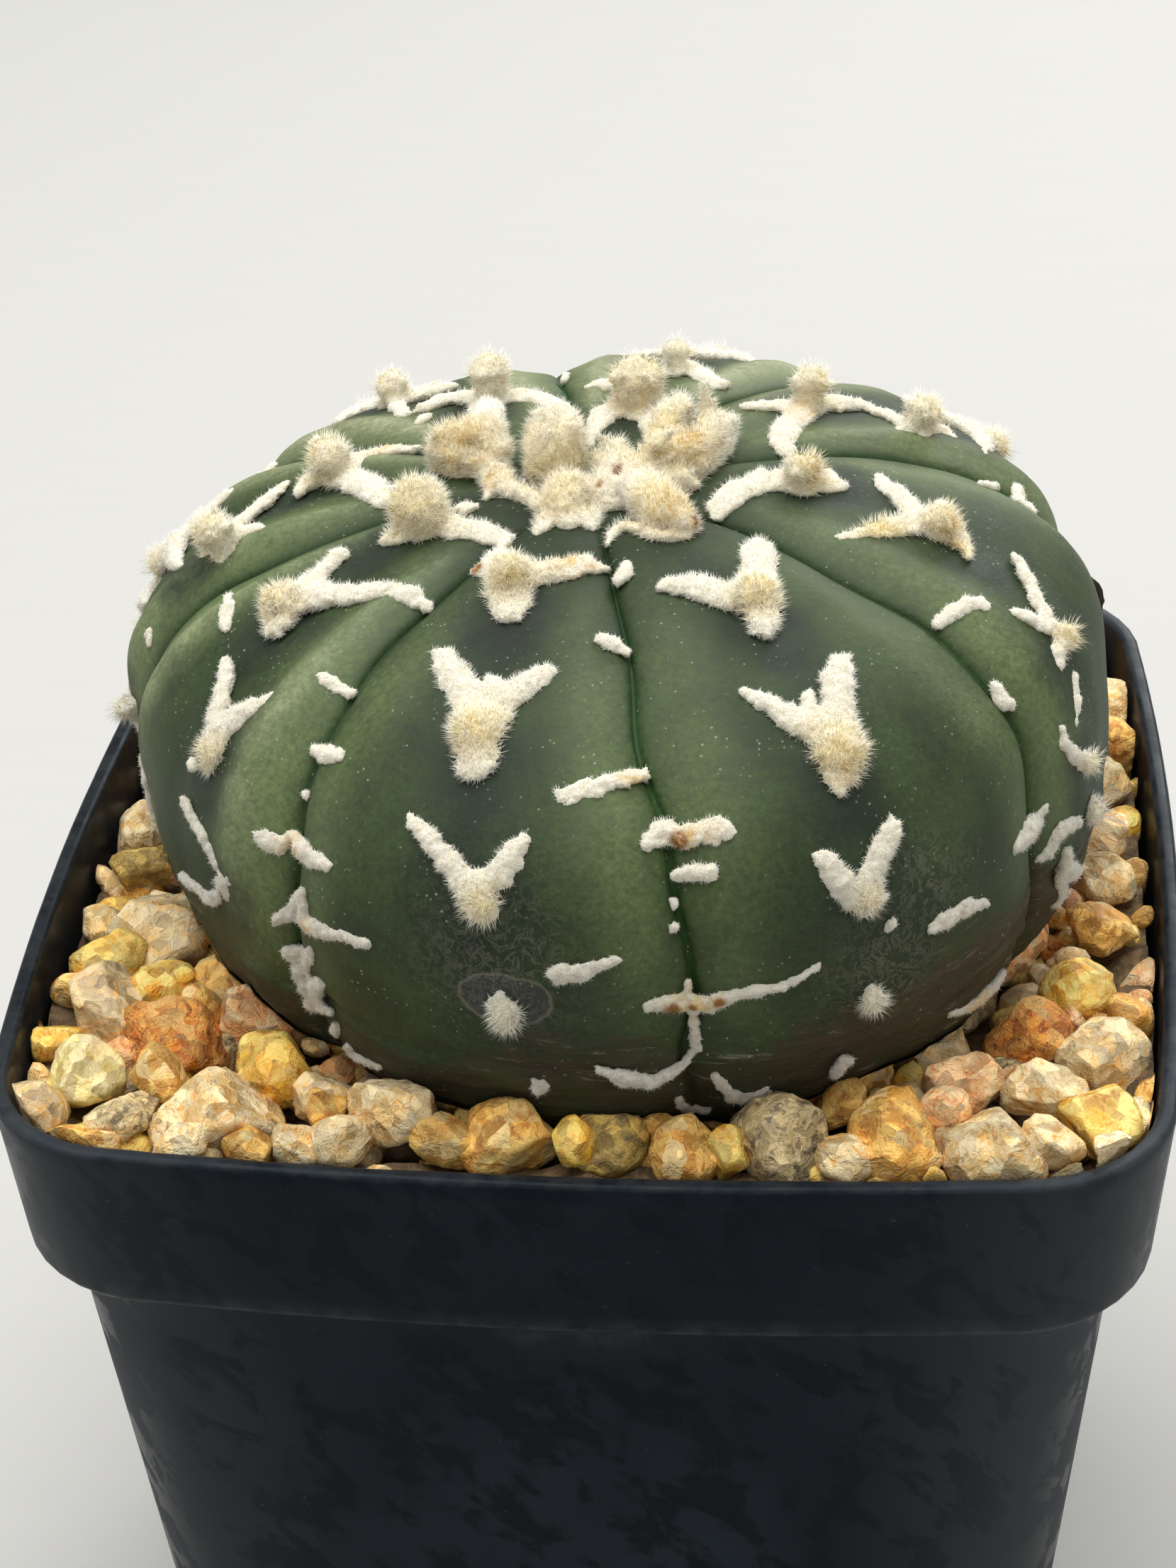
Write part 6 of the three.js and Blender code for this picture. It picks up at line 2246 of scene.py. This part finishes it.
    def lay(self, look: StoneLook, detail: int, place: Matrix, skin: BVHTree) -> None:
        """Shapes one stone and lays it with the others of its kind.

        Args:
            look: Its kind.
            detail: How fine its shape is.
            place: Its place and shape, in millimetres.
            skin: Search tree of the plant's skin, which the stone only touches.
        """
        if (look, detail) not in self.heaps:
            self.heaps[(look, detail)] = Repeats(ball_shape(detail))
        heap = self.heaps[(look, detail)]
        points, edge = self.chipped(heap.points, look)
        turned = points @ np.array(place.to_3x3()).T + np.array(place.translation)
        held = POT.held_inside(turned, self.clearance) * MM
        if np.hypot(*(held.mean(axis=0)[:2] - np.array(SKIN.offset[:2]) * MM)) < self.skin_reach * MM:
            for i, point in enumerate(held):
                spot = Vector(point)
                near, normal, _, _ = skin.find_nearest(spot)
                if (spot - near).dot(normal) < self.skin_space * MM:
                    held[i] = near + normal * self.skin_space * MM
        heap.add(held, tone=np.full(len(points), self.random.random()), edge=edge)

    def chipped(self, points: Array, look: StoneLook) -> tuple[Array, Array]:
        """Chips flat faces off a ball and roughens it.

        Args:
            points: Points of the ball, with a radius of 1.
            look: Kind of the stone.

        Returns:
            The points, and how near each is to an edge between two of the faces.
        """
        result = points.copy()
        faces = unit(self.random.normal(size=(int(self.random.integers(8, 14)), 3)))
        depths = self.random.uniform(*self.face_depths, len(faces))
        for face, depth in zip(faces, depths):
            over = result @ face - depth
            result -= np.where(over > 0, over * 0.97, 0.0)[:, None] * face
        gaps = np.sort(np.abs(depths - result @ faces.T), axis=1)
        edge = np.exp(-((gaps[:, 1] / self.worn) ** 2))
        rough = 0.06 * roughness_at(result, 0.9, 3, self.random.uniform(0, 50))
        if len(points) > self.fine_points:
            rough += 0.14 * look.value.pits * roughness_at(result, 0.28, 2, self.random.uniform(0, 50))
        result += points * rough[:, None]
        return result / np.abs(result).max(axis=0), edge

    def bed(self) -> Object:
        """Builds the bed of small gravel under the stones.

        Returns:
            The piece.
        """
        bm = bmesh.new()
        bmesh.ops.create_grid(bm, x_segments=self.bed_steps, y_segments=self.bed_steps, size=1.0)
        for vert in bm.verts:
            vert.co = vert.co.x * self.bed_half, vert.co.y * self.bed_half, self.bed_top
        base = bmesh.ops.extrude_face_region(bm, geom=list(bm.faces))["geom"]
        for vert in (g for g in base if isinstance(g, bmesh.types.BMVert)):
            vert.co.z = self.bed_bottom
        mesh = mesh_from(bm, "gravel_bed")
        points = points_of(mesh)
        top = points[:, 2] > self.bed_bottom + 0.1
        heap = np.array([self.heap(x, y) for x, y in points[:, :2]])
        bank = smoothstep(*self.bed_bank, np.abs(points[:, :2]).max(axis=1))
        raised = bank * (heap - self.bed_depth - self.bed_top) + 0.7 * roughness_at(points, 2.6, 3)
        points[:, 2] += np.where(top, raised, 0.0)
        points = POT.held_inside(points, self.clearance)
        hole = np.hypot(points[:, 0] - SKIN.offset[0], points[:, 1] - SKIN.offset[1]) < self.bed_hole
        points[:, 2] = np.where(top & hole, self.bed_bottom + 0.4, points[:, 2])
        set_points(mesh, points * MM)
        finish = EarthFinish("gravel_bed", (0.090, 0.060, 0.032), (0.34, 0.22, 0.11), 1.8)
        return finish_object("gravel_bed", mesh, finish.material())


@dataclass
class BarkChip:
    """The dark chip of bark that stands in the back right corner."""

    at: Place = (33.4, 29.6)
    sections: tuple[Place, ...] = ((1.6, 64.5), (1.7, 69.5), (1.4, 72.5), (1.8, 75.6), (1.0, 77.0))
    sides: int = 28
    rows: int = 26
    flat: Place = (0.78, 0.3)
    flat_towards: float = 0.9
    grain: float = 0.28
    ragged: float = 0.5
    ragged_from: float = 74.0
    wall_space: float = 0.2

    def build(self) -> Object:
        """Builds the chip as a ragged column.

        Returns:
            The piece.
        """
        bm = bmesh.new()
        radii, heights = zip(*self.sections)
        bmesh.ops.create_circle(bm, cap_ends=True, segments=self.sides, radius=1.0)
        ring, edges, middle = list(bm.verts), list(bm.edges), (0.0, 0.0)
        for row, t in enumerate(np.linspace(0, 1, self.rows)):
            height = heights[0] + (heights[-1] - heights[0]) * t
            radius = float(np.interp(height, heights, radii))
            if row:
                ring, edges = next_ring(bm, edges)
            for vert in ring:
                angle = math.atan2(vert.co.y - middle[1], vert.co.x - middle[0])
                flat = self.flat[0] + self.flat[1] * abs(math.cos(angle - self.flat_towards))
                vert.co = (self.at[0] + radius * flat * math.cos(angle),
                           self.at[1] + radius * flat * math.sin(angle), height)
            middle = self.at
        bmesh.ops.holes_fill(bm, edges=edges, sides=0)
        mesh = mesh_from(bm, "bark_piece")
        points = points_of(mesh)
        rough = roughness_at(points * np.array([1, 1, 0.4]), 1.0, 3)
        points += points_of(mesh, "normal") * (self.grain * rough)[:, None]
        points[:, 2] += self.ragged * roughness_at(points, 1.2, 2, 3.0) * (points[:, 2] > self.ragged_from)
        set_points(mesh, POT.held_inside(points, self.wall_space) * MM)
        finish = EarthFinish("bark", (0.014, 0.009, 0.006), (0.060, 0.036, 0.020), 0.9)
        return finish_object("bark_piece", mesh, finish.material())


# Studio


@dataclass
class Studio:
    """Camera, pale floor and soft light."""

    camera_at: Spot = (21.59, -196.76, 199.91)
    yaw: float = -0.11798
    pitch: float = 0.55784
    roll: float = -0.04057
    lens: float = 76.47
    floor_tone: Colour = (0.495, 0.487, 0.462)
    world_tone: Colour = (0.80, 0.82, 0.84)
    world_strength: float = 0.36
    key_power: float = 7.4
    rim_power: float = 3.6
    fill_power: float = 0.75
    side_power: float = 1.6

    def build(self) -> None:
        """Sets up the camera, the floor and the lights."""
        self.place_camera()
        self.lay_floor()
        self.hang_lights()

    def place_camera(self) -> None:
        """Sets the camera where the photographer stood."""
        forward = Vector((math.sin(self.yaw) * math.cos(self.pitch),
                          math.cos(self.yaw) * math.cos(self.pitch), -math.sin(self.pitch)))
        right = Vector((math.cos(self.yaw), -math.sin(self.yaw), 0.0))
        up = right.cross(forward)
        turned_right = right * math.cos(self.roll) + up * math.sin(self.roll)
        turned_up = -right * math.sin(self.roll) + up * math.cos(self.roll)
        data = bpy.data.cameras.new("camera")
        data.sensor_width = 36.0
        data.lens = self.lens
        data.clip_start, data.clip_end = 0.01, 20.0
        camera = bpy.data.objects.new("camera", data)
        matrix = Matrix.Identity(4)
        for column, axis in enumerate((turned_right, turned_up, -forward)):
            matrix.col[column][0:3] = axis
        matrix.col[3][0:3] = Vector(self.camera_at) * MM
        camera.matrix_world = matrix
        bpy.context.scene.collection.objects.link(camera)
        bpy.context.scene.camera = camera

    def lay_floor(self) -> None:
        """Lays a wide pale floor with a faint grain."""
        bm = bmesh.new()
        bmesh.ops.create_grid(bm, x_segments=1, y_segments=1, size=4.0)
        s = NodeSheet("floor_card")
        grain = s.noise(6.0, 5.0, 0.6, 0.0, s.stretched((0.25, 1.6, 1.0)))
        tone = s.blend(self.floor_tone, tuple(0.97 * c for c in self.floor_tone), grain)
        s.set(Base_Color=tone, Roughness=0.9, Specular_IOR_Level=0.2)
        s.relief(grain, 0.1, 0.3)
        floor = finish_object("floor", mesh_from(bm, "floor"), s.material, smooth=False)

    def hang_lights(self) -> None:
        """Hangs a large soft key above, a rim light behind, a weak fill in front and one at each side."""
        world = bpy.data.worlds.new("soft_room")
        world.use_nodes = True
        background = world.node_tree.nodes["Background"]
        background.inputs["Color"].default_value = (*self.world_tone, 1.0)
        background.inputs["Strength"].default_value = self.world_strength
        bpy.context.scene.world = world
        target = Vector((0, 0, 0.08))
        for name, power, size, at in (
            ("key", self.key_power, 0.8, (-0.06, 0.04, 0.75)),
            ("rim", self.rim_power, 0.5, (0.25, 0.7, 0.45)),
            ("fill", self.fill_power, 0.4, (0.1, -0.7, 0.45)),
            ("left", self.side_power, 0.5, (-0.85, -0.05, 0.22)),
            ("right", self.side_power, 0.5, (0.85, -0.05, 0.22)),
        ):
            data = bpy.data.lights.new(name, "AREA")
            data.shape = "DISK"
            data.energy, data.size = power, size
            lamp = bpy.data.objects.new(name, data)
            lamp.location = at
            lamp.rotation_euler = (target - Vector(at)).to_track_quat("-Z", "Y").to_euler()
            bpy.context.scene.collection.objects.link(lamp)
        bpy.context.scene.view_settings.view_transform = "Standard"


def stand_in(pieces: Sequence[Object], node: str) -> None:
    """Makes pieces ride with the object and stand for a solid.

    Args:
        pieces: Fine pieces.
        node: Name of the solid that they replace.
    """
    for piece in pieces:
        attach(piece, "root")
        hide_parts(node)
        piece.data.calc_loop_triangles()
        LOG.info("%s: %d triangles", piece.name, len(piece.data.loop_triangles))


def main() -> None:
    """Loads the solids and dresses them."""
    logging.basicConfig(level=logging.INFO, format="%(name)s %(message)s")
    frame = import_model()
    Studio().build()
    body, skin = CactusBody().build()
    stand_in([body], "cactus")
    stand_in(FleckWool().build(skin), "cactus")
    stand_in(CrownWool().build(skin), "crown_wool")
    stand_in([Pot().build()], "pot")
    stand_in(Gravel().build(skin), "gravel")
    stand_in([BarkChip().build()], "bark_chip")
    soil = EarthFinish("soil", (0.018, 0.012, 0.008), (0.085, 0.055, 0.032), 2.2).material()
    frame["nodes"]["soil"].material_slots[0].material = soil
    for drill in [o for o in bpy.data.objects if o.name.startswith("drill")]:
        bpy.data.objects.remove(drill)


if __name__ == "__main__":
    main()
